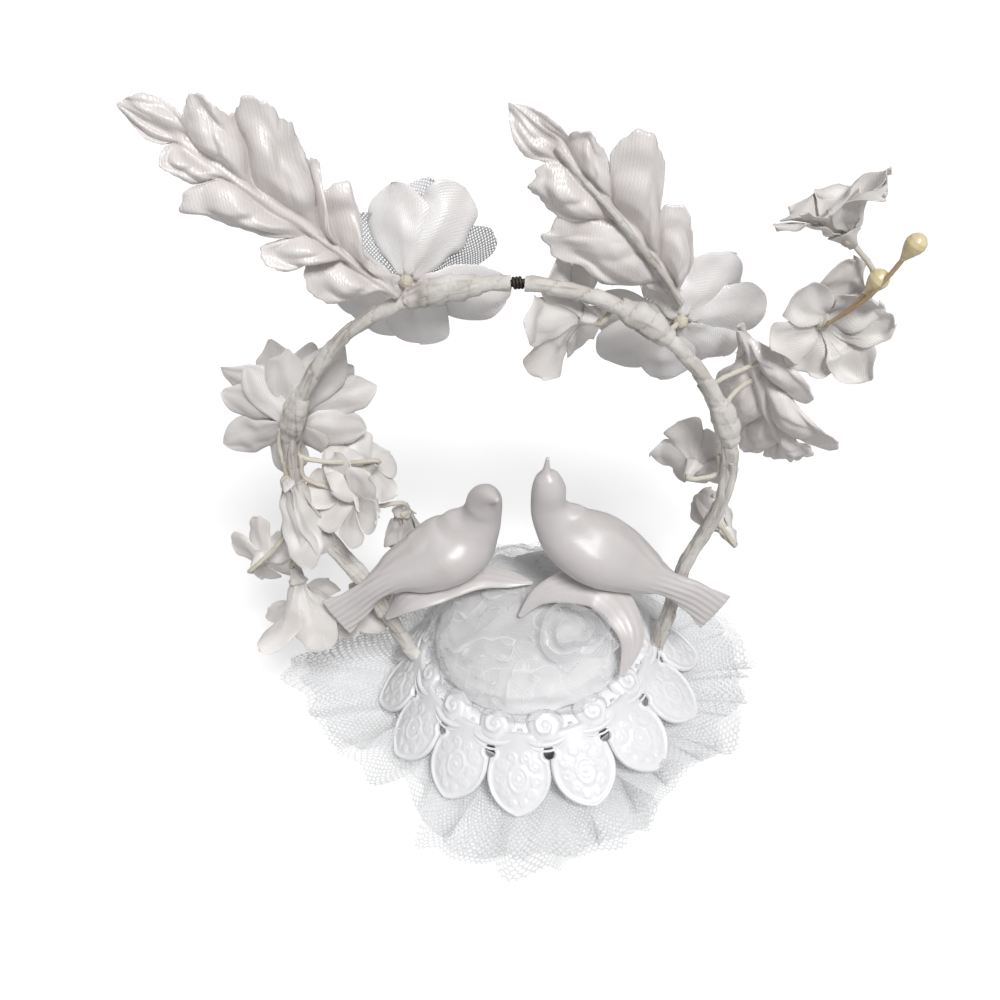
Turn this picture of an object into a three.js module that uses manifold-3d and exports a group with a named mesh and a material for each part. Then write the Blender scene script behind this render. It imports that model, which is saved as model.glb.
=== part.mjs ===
// Vintage wedding cake topper: two moulded doves on a puff of tulle in a petal-skirted plastic
// base, under a horseshoe arch of taped wire dressed with satin leaves, flowers and blossoms.
// Lengths are millimetres and +Z is up. The viewer stands at -Y. The origin is the centre of the
// base's flat foot. Heights of the pieces are counted from the skirt's petal tips, tipRise above it.

import * as THREE from 'three';
import Module from 'manifold-3d';
import { mergeVertices } from 'three/addons/utils/BufferGeometryUtils.js';

const wasm = await Module();
wasm.setup();

// Driving dimensions of the base
const petalCount = 14;
const tipRadius = 42.3;
const holeRadius = 31.9;
const holeDiameter = 2.4;
const skirtRise = 10.45;
const notchRadius = 34.6;
const shellWall = 1.1;
const tipRise = 3.4;
const cupRadius = 23.8;
const rimRise = 14.8;
const roseRadius = 26.4;
const roseDiameter = 9.6;
const roseHeight = 3.2;

// Driving dimensions of the tulle
const flounceRadius = 53.5;
const flounceLobe = 11;
const ruffleHeight = 5.6;
const ruffleCount = 17;
const tulleThickness = 0.9;
const puffTop = 33;
const rosetteDiameter = 17;
const rosetteHeight = 5;

// Driving dimensions of the doves
const doveLength = 52;
const doveBodyDiameter = 16.5;
const doveWingSpan = 40;
const wingChord = 9;
const wingThickness = 2.2;

// Driving dimensions of the wire arch
const archWidth = 98;
const archHeight = 118.5;
const archWire = 3.1;
const tieLength = 2.4;
const tieWire = 2.7;
const tapeThickness = 1.1;

// Driving dimensions of the satin leaves
const leafLength = 58;
const leafWidth = 31;
const leafLobes = 5;
const clothThickness = 0.7;
const ribWire = 1.5;

// Driving dimensions of the flowers
const satinPetalLength = 22;
const meshPetalLength = 20.5;
const starPetalLength = 20;
const blossomPetalLength = 9.6;
const trumpetPetalLength = 13.5;
const crownPetalLength = 16;
const stemWire = 1.2;
const knotDiameter = 3;
const blossomNeck = 4.5;
const budDiameter = 4.2;
const stamenCordWidth = 1;

// Clearances: between pieces that touch, and round the knot that petals are threaded on
const seatGap = 0.3;
const threadGap = 0.65;

// Fineness of the round and bent shapes
const roundSides = 8;
const wireSides = 5;
const doveSides = 12;
const petalCells = 2;
const meshTolerance = 0.05;

// Slope of the skirt, worked out from the tips and the circle of holes
const slope = skirtRise / (tipRadius - holeRadius);
const slopeAngle = Math.atan(slope);
const skirtTop = (radius) => (tipRadius - radius) * slope;
const shellDrop = shellWall / Math.cos(slopeAngle);
const floorHeight = -tipRise;
const petalPitch = (2 * Math.PI) / petalCount;
const firstPetalAngle = -Math.PI / 2 - 0.22 * petalPitch;

// Where a flower's petals start, round the knot on its stem
const petalRoot = knotDiameter / 2 + threadGap;

// Plastic, cloth, tape and wire colours
const finish = (color, roughness, metalness = 0) =>
  new THREE.MeshStandardMaterial({ color, roughness, metalness });
const whitePlastic = finish('#f4f3f5', 0.3);
const satin = finish('#efe9ea', 0.5);
const silverMesh = finish('#c3c7cc', 0.5, 0.3);
const tulle = finish('#f3f3f6', 0.9);
const paperTape = finish('#e9e5df', 0.85);
const darkWire = finish('#3a3733', 0.6);
const paleWire = finish('#e2d9c8', 0.7);
const budWax = finish('#eee0b4', 0.4);
const stamenCord = finish('#c9b79c', 0.7);

// A closed geometry from a list of points and a list of triangles
function meshOf(points, triangles) {
  const geometry = new THREE.BufferGeometry();
  const numbers = points.flatMap(({ x, y, z }) => [x, y, z]);
  geometry.setAttribute('position', new THREE.Float32BufferAttribute(numbers, 3));
  geometry.setIndex(triangles.flat());
  return geometry;
}

// A solid for cutting and joining, its shared vertices merged and its faces turned out
function solidOf(geometry, matrix = new THREE.Matrix4()) {
  const bare = geometry.clone().applyMatrix4(matrix);
  bare.deleteAttribute('normal');
  bare.deleteAttribute('uv');
  const merged = mergeVertices(bare);
  const vertProperties = merged.attributes.position.array;
  const make = (triVerts) => new wasm.Manifold(new wasm.Mesh({ numProp: 3, vertProperties, triVerts }));
  const triVerts = Uint32Array.from(merged.index.array);
  const solid = make(triVerts);
  return solid.volume() < 0 ? make(triVerts.reverse()) : solid;
}

const joined = (solids) => solids.reduce((sum, solid) => sum.add(solid));

// A thin cloth: both faces of a grid of points, stitched together round the edge
function clothSheet(steps, cells, pointAt) {
  const points = [];
  const triangles = [];
  const at = (side, i, j) => (side * (steps + 1) + i) * (cells + 1) + j;
  const quad = (a, b, c, d) => triangles.push([a, b, c], [a, c, d]);
  for (const side of [0, 1]) {
    for (let i = 0; i <= steps; i += 1) {
      for (let j = 0; j <= cells; j += 1) {
        points.push(pointAt(i / steps, (2 * j) / cells - 1, 2 * side - 1));
      }
    }
  }
  for (let i = 0; i < steps; i += 1) {
    for (let j = 0; j < cells; j += 1) {
      quad(at(1, i, j), at(1, i + 1, j), at(1, i + 1, j + 1), at(1, i, j + 1));
      quad(at(0, i, j + 1), at(0, i + 1, j + 1), at(0, i + 1, j), at(0, i, j));
    }
    quad(at(0, i, 0), at(0, i + 1, 0), at(1, i + 1, 0), at(1, i, 0));
    quad(at(1, i, cells), at(1, i + 1, cells), at(0, i + 1, cells), at(0, i, cells));
  }
  for (let j = 0; j < cells; j += 1) {
    quad(at(0, 0, j + 1), at(0, 0, j), at(1, 0, j), at(1, 0, j + 1));
    quad(at(0, steps, j), at(0, steps, j + 1), at(1, steps, j + 1), at(1, steps, j));
  }
  return meshOf(points, triangles);
}

// A body lofted over oval rings along a spine: each station is a point with half a width and height
function loft(stations, up, sides, grow = 0) {
  const spine = stations.map((station) => station.point);
  const points = [];
  const triangles = [];
  const last = spine.length - 1;
  const heading = (i) => spine[Math.min(i + 1, last)].clone().sub(spine[Math.max(i - 1, 0)]).normalize();
  stations.forEach(({ point, halfWidth, halfHeight }, i) => {
    const across = new THREE.Vector3().crossVectors(up, heading(i)).normalize();
    const above = new THREE.Vector3().crossVectors(heading(i), across);
    for (let k = 0; k < sides; k += 1) {
      const angle = (2 * Math.PI * k) / sides;
      const ring = point.clone().addScaledVector(across, (halfWidth + grow) * Math.cos(angle));
      points.push(ring.addScaledVector(above, (halfHeight + grow) * Math.sin(angle)));
    }
  });
  for (let i = 0; i < last; i += 1) {
    for (let k = 0; k < sides; k += 1) {
      const next = (k + 1) % sides;
      const [a, b, c, d] = [i * sides + k, i * sides + next, (i + 1) * sides + next, (i + 1) * sides + k];
      triangles.push([a, b, c], [a, c, d]);
    }
  }
  points.push(spine[0].clone().addScaledVector(heading(0), -grow));
  points.push(spine[last].clone().addScaledVector(heading(last), grow));
  for (let k = 0; k < sides; k += 1) {
    const next = (k + 1) % sides;
    triangles.push([points.length - 2, next, k]);
    triangles.push([points.length - 1, last * sides + k, last * sides + next]);
  }
  return solidOf(meshOf(points, triangles));
}

// A round wire of one thickness along a curve
function wireAlong(curve, diameter, steps, sides = wireSides) {
  const corner = new THREE.Vector2(diameter / 2, 0);
  const centre = new THREE.Vector2();
  const outline = Array.from(
    { length: sides }, (_, k) => corner.clone().rotateAround(centre, (2 * Math.PI * k) / sides));
  return solidOf(new THREE.ExtrudeGeometry(new THREE.Shape(outline), { extrudePath: curve, steps }));
}

const curveThrough = (points) => new THREE.CatmullRomCurve3(points, false, 'centripetal');

// A place in the wreath: across and deep as shares of the arch's width, up as a share of its height
const inWreath = ([acrossShare, depthShare, upShare]) =>
  new THREE.Vector3(acrossShare * archWidth, depthShare * archWidth, upShare * archHeight);

// A body of rings round its axis, from a point on the axis to another
function turnedBody(around, rings, pointAt) {
  const points = [pointAt(0, 0)];
  const triangles = [];
  const at = (i, k) => 1 + (i - 1) * around + (k % around);
  for (let i = 1; i < rings - 1; i += 1) {
    for (let k = 0; k < around; k += 1) points.push(pointAt(i, k / around));
  }
  points.push(pointAt(rings - 1, 0));
  for (let k = 0; k < around; k += 1) {
    triangles.push([0, at(1, k + 1), at(1, k)]);
    triangles.push([points.length - 1, at(rings - 2, k), at(rings - 2, k + 1)]);
    for (let i = 1; i < rings - 2; i += 1) {
      const [a, b, c, d] = [at(i, k), at(i, k + 1), at(i + 1, k + 1), at(i + 1, k)];
      triangles.push([a, b, c], [a, c, d]);
    }
  }
  return solidOf(meshOf(points, triangles));
}

// Base: a cup under a sloping shoulder that ends in a skirt, whose rim runs out to each petal's tip
// and back to the notch before the next
const neckRadius = holeRadius - holeDiameter / 2;

function cupAndSkirt() {
  const samples = 4;
  const bowShare = 1.3;
  const skirtEdge = (turn) => {
    const across = Math.abs(2 * ((turn * petalCount) % 1) - 1);
    return notchRadius + (tipRadius - notchRadius) * (1 - across ** bowShare);
  };
  const profile = (edge) => [
    [0, floorHeight],
    [cupRadius, floorHeight],
    [cupRadius, rimRise - 2 * shellWall],
    [neckRadius, skirtTop(neckRadius) - shellDrop],
    [edge, skirtTop(edge) - shellDrop],
    [edge, skirtTop(edge)],
    [neckRadius, skirtTop(neckRadius)],
    [cupRadius, rimRise],
    [cupRadius - shellWall, rimRise],
    [cupRadius - shellWall, floorHeight + shellWall],
    [0, floorHeight + shellWall],
  ];
  return turnedBody(samples * petalCount, profile(0).length, (i, turn) => {
    const [radius, height] = profile(skirtEdge(turn))[i];
    const angle = firstPetalAngle - petalPitch / 2 + 2 * Math.PI * turn;
    return new THREE.Vector3(radius * Math.cos(angle), radius * Math.sin(angle), height);
  });
}

const zUp = new THREE.Matrix4().makeRotationX(Math.PI / 2);

// One rose: a low turned dome with a rolled rim and a dimple, tilted out as the shoulder under it
function moldedRose(angle, grow) {
  const radiusShares = [0, 1, 0.7, 0];
  const heightShares = [-0.3, -0.3, 0.6, 0.3];
  const sinkShare = 0.2;
  const size = 1 + grow / roseHeight;
  const profile = radiusShares.map((share, i) =>
    new THREE.Vector2((share * roseDiameter) / 2, heightShares[i] * roseHeight).multiplyScalar(size));
  const lean = Math.atan((rimRise - skirtTop(neckRadius)) / (neckRadius - cupRadius));
  const seat = rimRise - (roseRadius - cupRadius) * Math.tan(lean);
  const place = new THREE.Matrix4().makeRotationZ(angle)
    .multiply(new THREE.Matrix4().makeTranslation(roseRadius, 0, seat + sinkShare * roseHeight))
    .multiply(new THREE.Matrix4().makeRotationY(lean))
    .multiply(zUp);
  return solidOf(new THREE.LatheGeometry(profile, roundSides), place);
}

function skirtHole(angle) {
  const drill = new THREE.CylinderGeometry(holeDiameter / 2, holeDiameter / 2, skirtRise, wireSides);
  const place = new THREE.Matrix4().makeRotationZ(angle)
    .multiply(new THREE.Matrix4().makeTranslation(holeRadius, 0, skirtTop(holeRadius)))
    .multiply(new THREE.Matrix4().makeRotationY(slopeAngle))
    .multiply(zUp);
  return solidOf(drill, place);
}

function petalBase(grow) {
  const betweens = Array.from({ length: petalCount }, (_, k) => firstPetalAngle + (k + 0.5) * petalPitch);
  const plain = joined([cupAndSkirt(), ...betweens.map((angle) => moldedRose(angle, grow))]);
  return plain.subtract(joined(betweens.map(skirtHole)));
}

// A cloth ring: both faces of a closed band of points round an opening, stitched at both edges
function ringSheet(around, outward, pointAt) {
  const points = [];
  const triangles = [];
  const size = 2 * (outward + 1);
  for (let k = 0; k < around; k += 1) {
    for (let j = 0; j < size; j += 1) {
      const out = j <= outward ? j : size - 1 - j;
      points.push(pointAt(k / around, out / outward, j <= outward ? -1 : 1));
      const [next, over] = [((k + 1) % around) * size, (j + 1) % size];
      triangles.push([k * size + j, next + j, next + over], [k * size + j, next + over, k * size + over]);
    }
  }
  return meshOf(points, triangles);
}

// Tulle flounce: a ruffled ring round the cup, under the skirt and out past it over the table
function tulleFlounce() {
  const around = 4 * ruffleCount;
  const inner = cupRadius + seatGap;
  const rest = floorHeight + tulleThickness / 2 + seatGap;
  const swayShare = 0.16;
  const hem = (angle) => flounceRadius + flounceLobe * (Math.max(0, -Math.cos(angle)) ** 10
    + swayShare * Math.sin(3 * angle + 0.6));
  return solidOf(ringSheet(around, 2, (turn, out, side) => {
    const angle = 2 * Math.PI * turn;
    const beyond = Math.max(0, 2 * out - 1);
    const radius = inner + Math.min(1, 2 * out) * (tipRadius - inner) + beyond * (hem(angle) - tipRadius);
    const wave = 0.5 + 0.5 * Math.sin(ruffleCount * angle) * Math.cos(2 * angle + 0.5);
    const height = rest + ruffleHeight * wave * beyond + (side * tulleThickness) / 2;
    return new THREE.Vector3(radius * Math.cos(angle), radius * Math.sin(angle), height);
  }));
}

// Tulle puff: a lumpy dome that fills the cup and swells over its rim
function tullePuff() {
  const radiusShares = [0, 0.96, 1, 1, 0.92, 0.7, 0.36, 0];
  const heightShares = [0, 0, 0.5, 0.66, 0.82, 0.94, 0.99, 1];
  const around = 20;
  const lobes = 5;
  const lobeShare = 0.035;
  const seat = floorHeight + shellWall + seatGap;
  const mouth = roseRadius - roseDiameter / 2 - 2 * seatGap;
  return turnedBody(around, radiusShares.length, (i, turn) => {
    const angle = 2 * Math.PI * turn;
    const lump = heightShares[i] > 0.6 ? 1 + lobeShare * Math.sin(lobes * angle + i) : 1;
    const radius = mouth * radiusShares[i] * lump;
    return new THREE.Vector3(
      radius * Math.cos(angle), radius * Math.sin(angle), seat + heightShares[i] * (puffTop - seat));
  });
}

// Tulle rosette: a strip of tulle rolled into a loose spiral on the front of the puff
function tulleRosette(grow) {
  const turns = 1.75;
  const steps = 22;
  const coreShare = 0.22;
  const centreShares = [0.148, -0.115, 0.272];
  const lean = new THREE.Euler(0.75, 0.42, 0);
  const place = new THREE.Matrix4().makeRotationFromEuler(lean).setPosition(inWreath(centreShares));
  const strip = clothSheet(steps, petalCells, (along, v, side) => {
    const angle = 2 * Math.PI * turns * along;
    const middle = (rosetteDiameter / 2) * (coreShare + (1 - coreShare) * along);
    const radius = middle + side * (tulleThickness / 2 + grow);
    const height = v * (rosetteHeight / 2 + grow) - (along * rosetteHeight) / 2;
    return new THREE.Vector3(radius * Math.cos(angle), radius * Math.sin(angle), height);
  });
  return solidOf(strip, place);
}

// Doves: a body lofted from tail fan to beak, resting on its wings. Each spine is in shares of the
// dove's length, counted from its seat; half widths and heights are shares of the body's diameter
const leftDove = {
  seatShares: [-0.183, 0.048, 0.261],
  spineShares: [
    [-0.55, -0.2, 0.04], [-0.45, -0.18, 0.1], [-0.35, -0.15, 0.17], [-0.23, -0.11, 0.23],
    [-0.12, -0.08, 0.26], [-0.02, -0.05, 0.28], [0.07, -0.03, 0.32], [0.14, -0.02, 0.4], [0.2, -0.02, 0.5],
    [0.23, -0.07, 0.59], [0.26, -0.12, 0.64],
  ],
  halfWidthShares: [0.33, 0.25, 0.2, 0.33, 0.46, 0.5, 0.47, 0.36, 0.27, 0.15, 0.03],
  halfHeightShares: [0.06, 0.09, 0.2, 0.35, 0.48, 0.52, 0.48, 0.36, 0.27, 0.13, 0.03],
};
const rightDove = {
  seatShares: [0.153, -0.04, 0.321],
  spineShares: [
    [0.58, -0.04, -0.18], [0.48, -0.02, -0.09], [0.37, 0, -0.02], [0.27, 0.02, 0.04], [0.16, 0.04, 0.11],
    [0.05, 0.04, 0.19], [-0.05, 0.04, 0.27], [-0.1, 0.04, 0.37], [-0.12, 0.04, 0.47], [-0.12, 0.04, 0.56],
    [-0.12, 0.04, 0.64], [-0.11, 0.04, 0.72],
  ],
  halfWidthShares: [0.33, 0.25, 0.2, 0.34, 0.47, 0.5, 0.42, 0.29, 0.23, 0.24, 0.12, 0.02],
  halfHeightShares: [0.06, 0.09, 0.2, 0.36, 0.49, 0.52, 0.42, 0.29, 0.23, 0.24, 0.12, 0.02],
};

function doveBody({ seatShares, spineShares, halfWidthShares, halfHeightShares }, grow) {
  const stations = spineShares.map((shares, i) => ({
    point: new THREE.Vector3(...shares).multiplyScalar(doveLength).add(inWreath(seatShares)),
    halfWidth: halfWidthShares[i] * doveBodyDiameter,
    halfHeight: halfHeightShares[i] * doveBodyDiameter,
  }));
  return loft(stations, new THREE.Vector3(0, -1, 0.35), doveSides, grow);
}

// Wings: one crescent blade from tip to tip under the body, in shares of the wing span and chord
const leftWings = {
  seatShares: [-0.17, -0.01, 0.306],
  spineShares: [
    [0.44, 0.12, -0.06], [0.31, 0.1, -0.05], [0.15, 0.05, -0.02], [0, 0, 0], [-0.14, -0.08, 0.02],
    [-0.25, -0.15, 0.02], [-0.34, -0.2, -0.01],
  ],
  chordShares: [0.05, 0.28, 0.46, 0.52, 0.44, 0.3, 0.06],
  up: [0, -0.25, 1],
};
const rightWings = {
  seatShares: rightDove.seatShares,
  spineShares: [
    [-0.41, -0.1, -0.14], [-0.27, -0.05, -0.02], [-0.09, -0.03, 0.02], [0.08, -0.05, 0],
    [0.2, -0.13, -0.12], [0.25, -0.25, -0.24], [0.18, -0.38, -0.4],
  ],
  chordShares: [0.05, 0.26, 0.46, 0.54, 0.48, 0.32, 0.06],
  up: [0.3, -0.55, 0.8],
};

function wingPair({ seatShares, spineShares, chordShares, up }, grow) {
  const taperShare = 0.4;
  const stations = spineShares.map((shares, i) => ({
    point: new THREE.Vector3(...shares).multiplyScalar(doveWingSpan).add(inWreath(seatShares)),
    halfWidth: chordShares[i] * wingChord,
    halfHeight: (wingThickness / 2) * Math.min(1, chordShares[i] / taperShare),
  }));
  return loft(stations, new THREE.Vector3(...up), roundSides, grow);
}

// Arch: one taped wire from each side of the base, meeting end to end at a bare dark wire on top
const legShares = [
  [-0.3, 0, 0.05], [-0.33, 0, 0.13], [-0.36, 0, 0.22], [-0.395, 0, 0.33], [-0.45, 0, 0.43],
  [-0.487, 0, 0.515], [-0.5, 0, 0.61], [-0.483, 0, 0.695], [-0.445, 0, 0.775], [-0.39, 0, 0.845],
  [-0.322, 0, 0.907],
  [-0.235, 0, 0.955], [-0.123, 0, 0.989], [0, 0, 1],
];
const tiePlaceShare = 0.075;
const mirrored = ([across, deep, up]) => [-across, deep, up];

const leftArch = curveThrough([...legShares, [tiePlaceShare, 0, 0.9975]].map(inWreath));
const rightArch = curveThrough(
  [...legShares.slice(0, -1).map(mirrored), [tiePlaceShare, 0, 0.9975]].map(inWreath));

// The stretch of a curve up to a length short of its end
function shortened(curve, short) {
  const steps = 60;
  const keep = 1 - short / curve.getLength();
  return curveThrough(Array.from({ length: steps + 1 }, (_, k) => curve.getPointAt((keep * k) / steps)));
}

const archSteps = 28;
const tieEnd = tieLength / 2 + seatGap;

function tieWireSolid() {
  const tie = new THREE.CylinderGeometry(tieWire / 2, tieWire / 2, tieLength, roundSides);
  const place = new THREE.Matrix4().makeRotationZ(Math.PI / 2).setPosition(leftArch.getPointAt(1));
  return solidOf(tie, place);
}

// Tape wraps: swollen sleeves of paper tape round the arch where stems join it
function tapeWrap({ arch, middleShare, lengthShare }, grow) {
  const bulgeShares = [0.3, 1, 1, 0.3];
  const rings = bulgeShares.length - 1;
  const inner = archWire / 2 + 2 * seatGap - grow;
  return solidOf(ringSheet(roundSides, rings, (turn, out, side) => {
    const along = middleShare + lengthShare * (out - 0.5);
    const heading = arch.getTangentAt(along);
    const back = new THREE.Vector3(0, 1, 0);
    const across = new THREE.Vector3().crossVectors(back, heading);
    const radius = inner + (side < 0 ? 0 : 2 * grow + tapeThickness * bulgeShares[Math.round(out * rings)]);
    return arch.getPointAt(along)
      .addScaledVector(across, radius * Math.cos(2 * Math.PI * turn))
      .addScaledVector(back, radius * Math.sin(2 * Math.PI * turn));
  }));
}

// A cut flower: its petals in one cup of cloth, open in the middle for the knot on its stem. Petals
// are [angle in degrees, length share]; each fills the sector up to halfway to its neighbours
function corolla({ petalShares, length, lift, bend, cupShare, blunt, setBack = 0, rings = 2 }, pose, grow) {
  const samples = 5;
  const notchShare = 0.34;
  const order = petalShares.map(([degrees, share = 1]) => [radians(degrees), share]);
  order.sort((a, b) => a[0] - b[0]);
  const last = order.length - 1;
  const before = (i) => (i > 0 ? order[i - 1][0] : order[last][0] - 2 * Math.PI);
  const edges = order.map(([angle], i) => (angle + before(i)) / 2);
  edges.push(edges[0] + 2 * Math.PI);
  const sheet = ringSheet(samples * order.length, rings, (turn, out, side) => {
    const step = Math.round(turn * samples * order.length);
    const index = Math.floor(step / samples);
    const across = (step % samples) / samples;
    const bow = Math.max(0, 1 - (2 * across - 1) ** 2);
    const lobe = notchShare + (order[index][1] - notchShare) * bow ** blunt;
    const reach = (length - petalRoot + grow) * lobe;
    const tilt = lift + bend * out;
    const off = (side * (clothThickness + 2 * grow)) / 2;
    const run = (reach * (Math.sin(tilt) - Math.sin(lift))) / bend - off * Math.sin(tilt);
    const rise = (reach * (Math.cos(lift) - Math.cos(tilt))) / bend + off * Math.cos(tilt);
    const radius = petalRoot - grow + run;
    const height = setBack + rise + cupShare * (1 - bow) * reach * out;
    const angle = edges[index] + across * (edges[index + 1] - edges[index]);
    return new THREE.Vector3(radius * Math.cos(angle), radius * Math.sin(angle), height);
  });
  return solidOf(sheet, pose);
}

const evenPetals = (count, start) => Array.from({ length: count }, (_, k) => [start + (360 * k) / count]);

// The pose of a flower: its face looks at the viewer, turned about Z and tipped down
const flowerPose = ({ atShares, turn = 0, tip = 0 }) => new THREE.Matrix4().makeRotationZ(turn)
  .multiply(new THREE.Matrix4().makeRotationX(Math.PI / 2 + tip))
  .setPosition(inWreath(atShares));

const leafArchShare = 0.1;

// Leaf: lobed satin with forward-swept lobes, a fold along the midrib and a curl along the length
function leafBlade({ baseShares, tipShares, roll, leftShare, rightShare }, grow) {
  const steps = 4 * leafLobes;
  const cells = 4;
  const sweepShare = 0.85;
  const foldShare = 0.28;
  const swellShare = 0.12;
  const thickness = clothThickness + 2 * grow;
  const halfAt = (s) => {
    const body = Math.sin(Math.PI * (0.08 + 0.92 * s ** 0.85)) ** 0.7;
    const lobe = 0.48 + 0.52 * Math.abs(Math.sin(Math.PI * leafLobes * s)) ** 0.7;
    return Math.max(0.07, body * lobe) * (leafWidth / 2);
  };
  const blade = clothSheet(steps, cells, (s, v, side) => {
    const half = halfAt(s) * (v < 0 ? rightShare : leftShare);
    const out = Math.abs(v) * half;
    const swell = swellShare * out * Math.abs(Math.sin(Math.PI * leafLobes * s));
    const height = foldShare * out + leafArchShare * leafLength * Math.sin(Math.PI * s) + swell;
    const along = s * leafLength + sweepShare * (1 - s) * out;
    return new THREE.Vector3(along, v * (half + grow), height + (side * thickness) / 2);
  });
  return solidOf(blade, leafPose(baseShares, tipShares, roll));
}

// A leaf runs from its base to its tip, its upper face turned to the viewer and rolled about its rib
function leafPose(baseShares, tipShares, roll) {
  const along = inWreath(tipShares).sub(inWreath(baseShares)).normalize();
  const across = new THREE.Vector3().crossVectors(new THREE.Vector3(0, -1, 0), along).normalize();
  const face = new THREE.Vector3().crossVectors(along, across);
  return new THREE.Matrix4().makeBasis(along, across, face)
    .multiply(new THREE.Matrix4().makeRotationX(roll))
    .setPosition(inWreath(baseShares));
}

function leafRib({ baseShares, tipShares, roll, ribSide }, grow) {
  const off = ribSide * (ribWire / 2 + clothThickness / 2 + 2 * seatGap);
  const alongShares = [0, 0.2, 0.4, 0.6, 0.78];
  const pose = leafPose(baseShares, tipShares, roll);
  const points = alongShares.map((s) => new THREE.Vector3(
    s * leafLength, 0, leafArchShare * leafLength * Math.sin(Math.PI * s) + off).applyMatrix4(pose));
  return wireAlong(curveThrough(points), ribWire + 2 * grow, 14);
}

// Stamen: a thin cord from the blossom's middle with a pearl of wax on its end
function stamen({ atShares, throughShares }, grow) {
  const curve = curveThrough([stamenRootShares, throughShares, atShares].map(inWreath));
  return wireAlong(curve, stamenCordWidth + 2 * grow, 6).add(waxBud(atShares, throughShares, grow));
}

const stamenRootShares = [0.69, 0.01, 0.865];

function waxBud(atShares, fromShares, grow) {
  const radiusShares = [0, 0.42, 0.8, 1, 0.86, 0.5, 0];
  const heightShares = [-1.5, -1, -0.5, 0, 0.5, 0.85, 1];
  const radius = budDiameter / 2 + grow;
  const profile = radiusShares.map((share, i) =>
    new THREE.Vector2(share, heightShares[i]).multiplyScalar(radius));
  const lean = new THREE.Quaternion().setFromUnitVectors(
    new THREE.Vector3(0, 1, 0), inWreath(atShares).sub(inWreath(fromShares)).normalize());
  const place = new THREE.Matrix4().makeRotationFromQuaternion(lean).setPosition(inWreath(atShares));
  return solidOf(new THREE.LatheGeometry(profile, roundSides), place);
}

// Leaves: where each starts and ends in the wreath, and how wide each half shows
const leaves = {
  leaf_left: {
    baseShares: [-0.17, -0.015, 0.996], tipShares: [-0.6, -0.03, 1.37], roll: 0.3,
    leftShare: 0.8, rightShare: 1.15, ribSide: -1,
  },
  leaf_middle: {
    baseShares: [0.4, 0.075, 0.9], tipShares: [0.1, 0.07, 1.275], roll: 0,
    leftShare: 1.15, rightShare: 1.1, ribSide: 1,
  },
  leaf_right: {
    baseShares: [0.52, 0.05, 0.85], tipShares: [0.66, 0.22, 0.46], roll: 0.5,
    leftShare: 1, rightShare: 1, ribSide: -1,
  },
};

// Petal shapes: size, lean and bend; a negative lift leans away from the viewer
const radians = THREE.MathUtils.degToRad;
const satinShape = {
  length: satinPetalLength, lift: radians(-8), bend: radians(-22), cupShare: -0.1, blunt: 0.4,
};
const meshShape = {
  length: meshPetalLength, lift: radians(-26), bend: radians(-10), cupShare: -0.06, blunt: 0.5,
};
const starShape = {
  length: starPetalLength, lift: radians(-10), bend: radians(-12), cupShare: -0.1, blunt: 1.1,
};
const innerStarShape = { ...starShape, lift: radians(-32), bend: radians(10) };
const bellShape = {
  length: starPetalLength, lift: radians(-62), bend: radians(-20), cupShare: 0, blunt: 0.4,
};
const blossomShape = {
  length: blossomPetalLength, lift: radians(-34), bend: radians(20), cupShare: -0.12, blunt: 0.4, rings: 1,
};
const trumpetShape = {
  length: trumpetPetalLength, lift: radians(-40), bend: radians(40), cupShare: -0.12, blunt: 0.4,
};
const closedTrumpetShape = { ...trumpetShape, lift: radians(-64), bend: radians(30) };
const faceShape = {
  length: trumpetPetalLength, lift: radians(12), bend: radians(16), cupShare: 0.08, blunt: 0.4,
};

// A layer set back behind the one in front of it by the cloth and a clearance
const secondLayer = -(clothThickness + 2 * seatGap);
const flowerLayers = [
  ['petals', satin, 0],
  ['satin', satin, 0],
  ['mesh', silverMesh, secondLayer],
  ['inner', satin, secondLayer],
];

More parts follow.
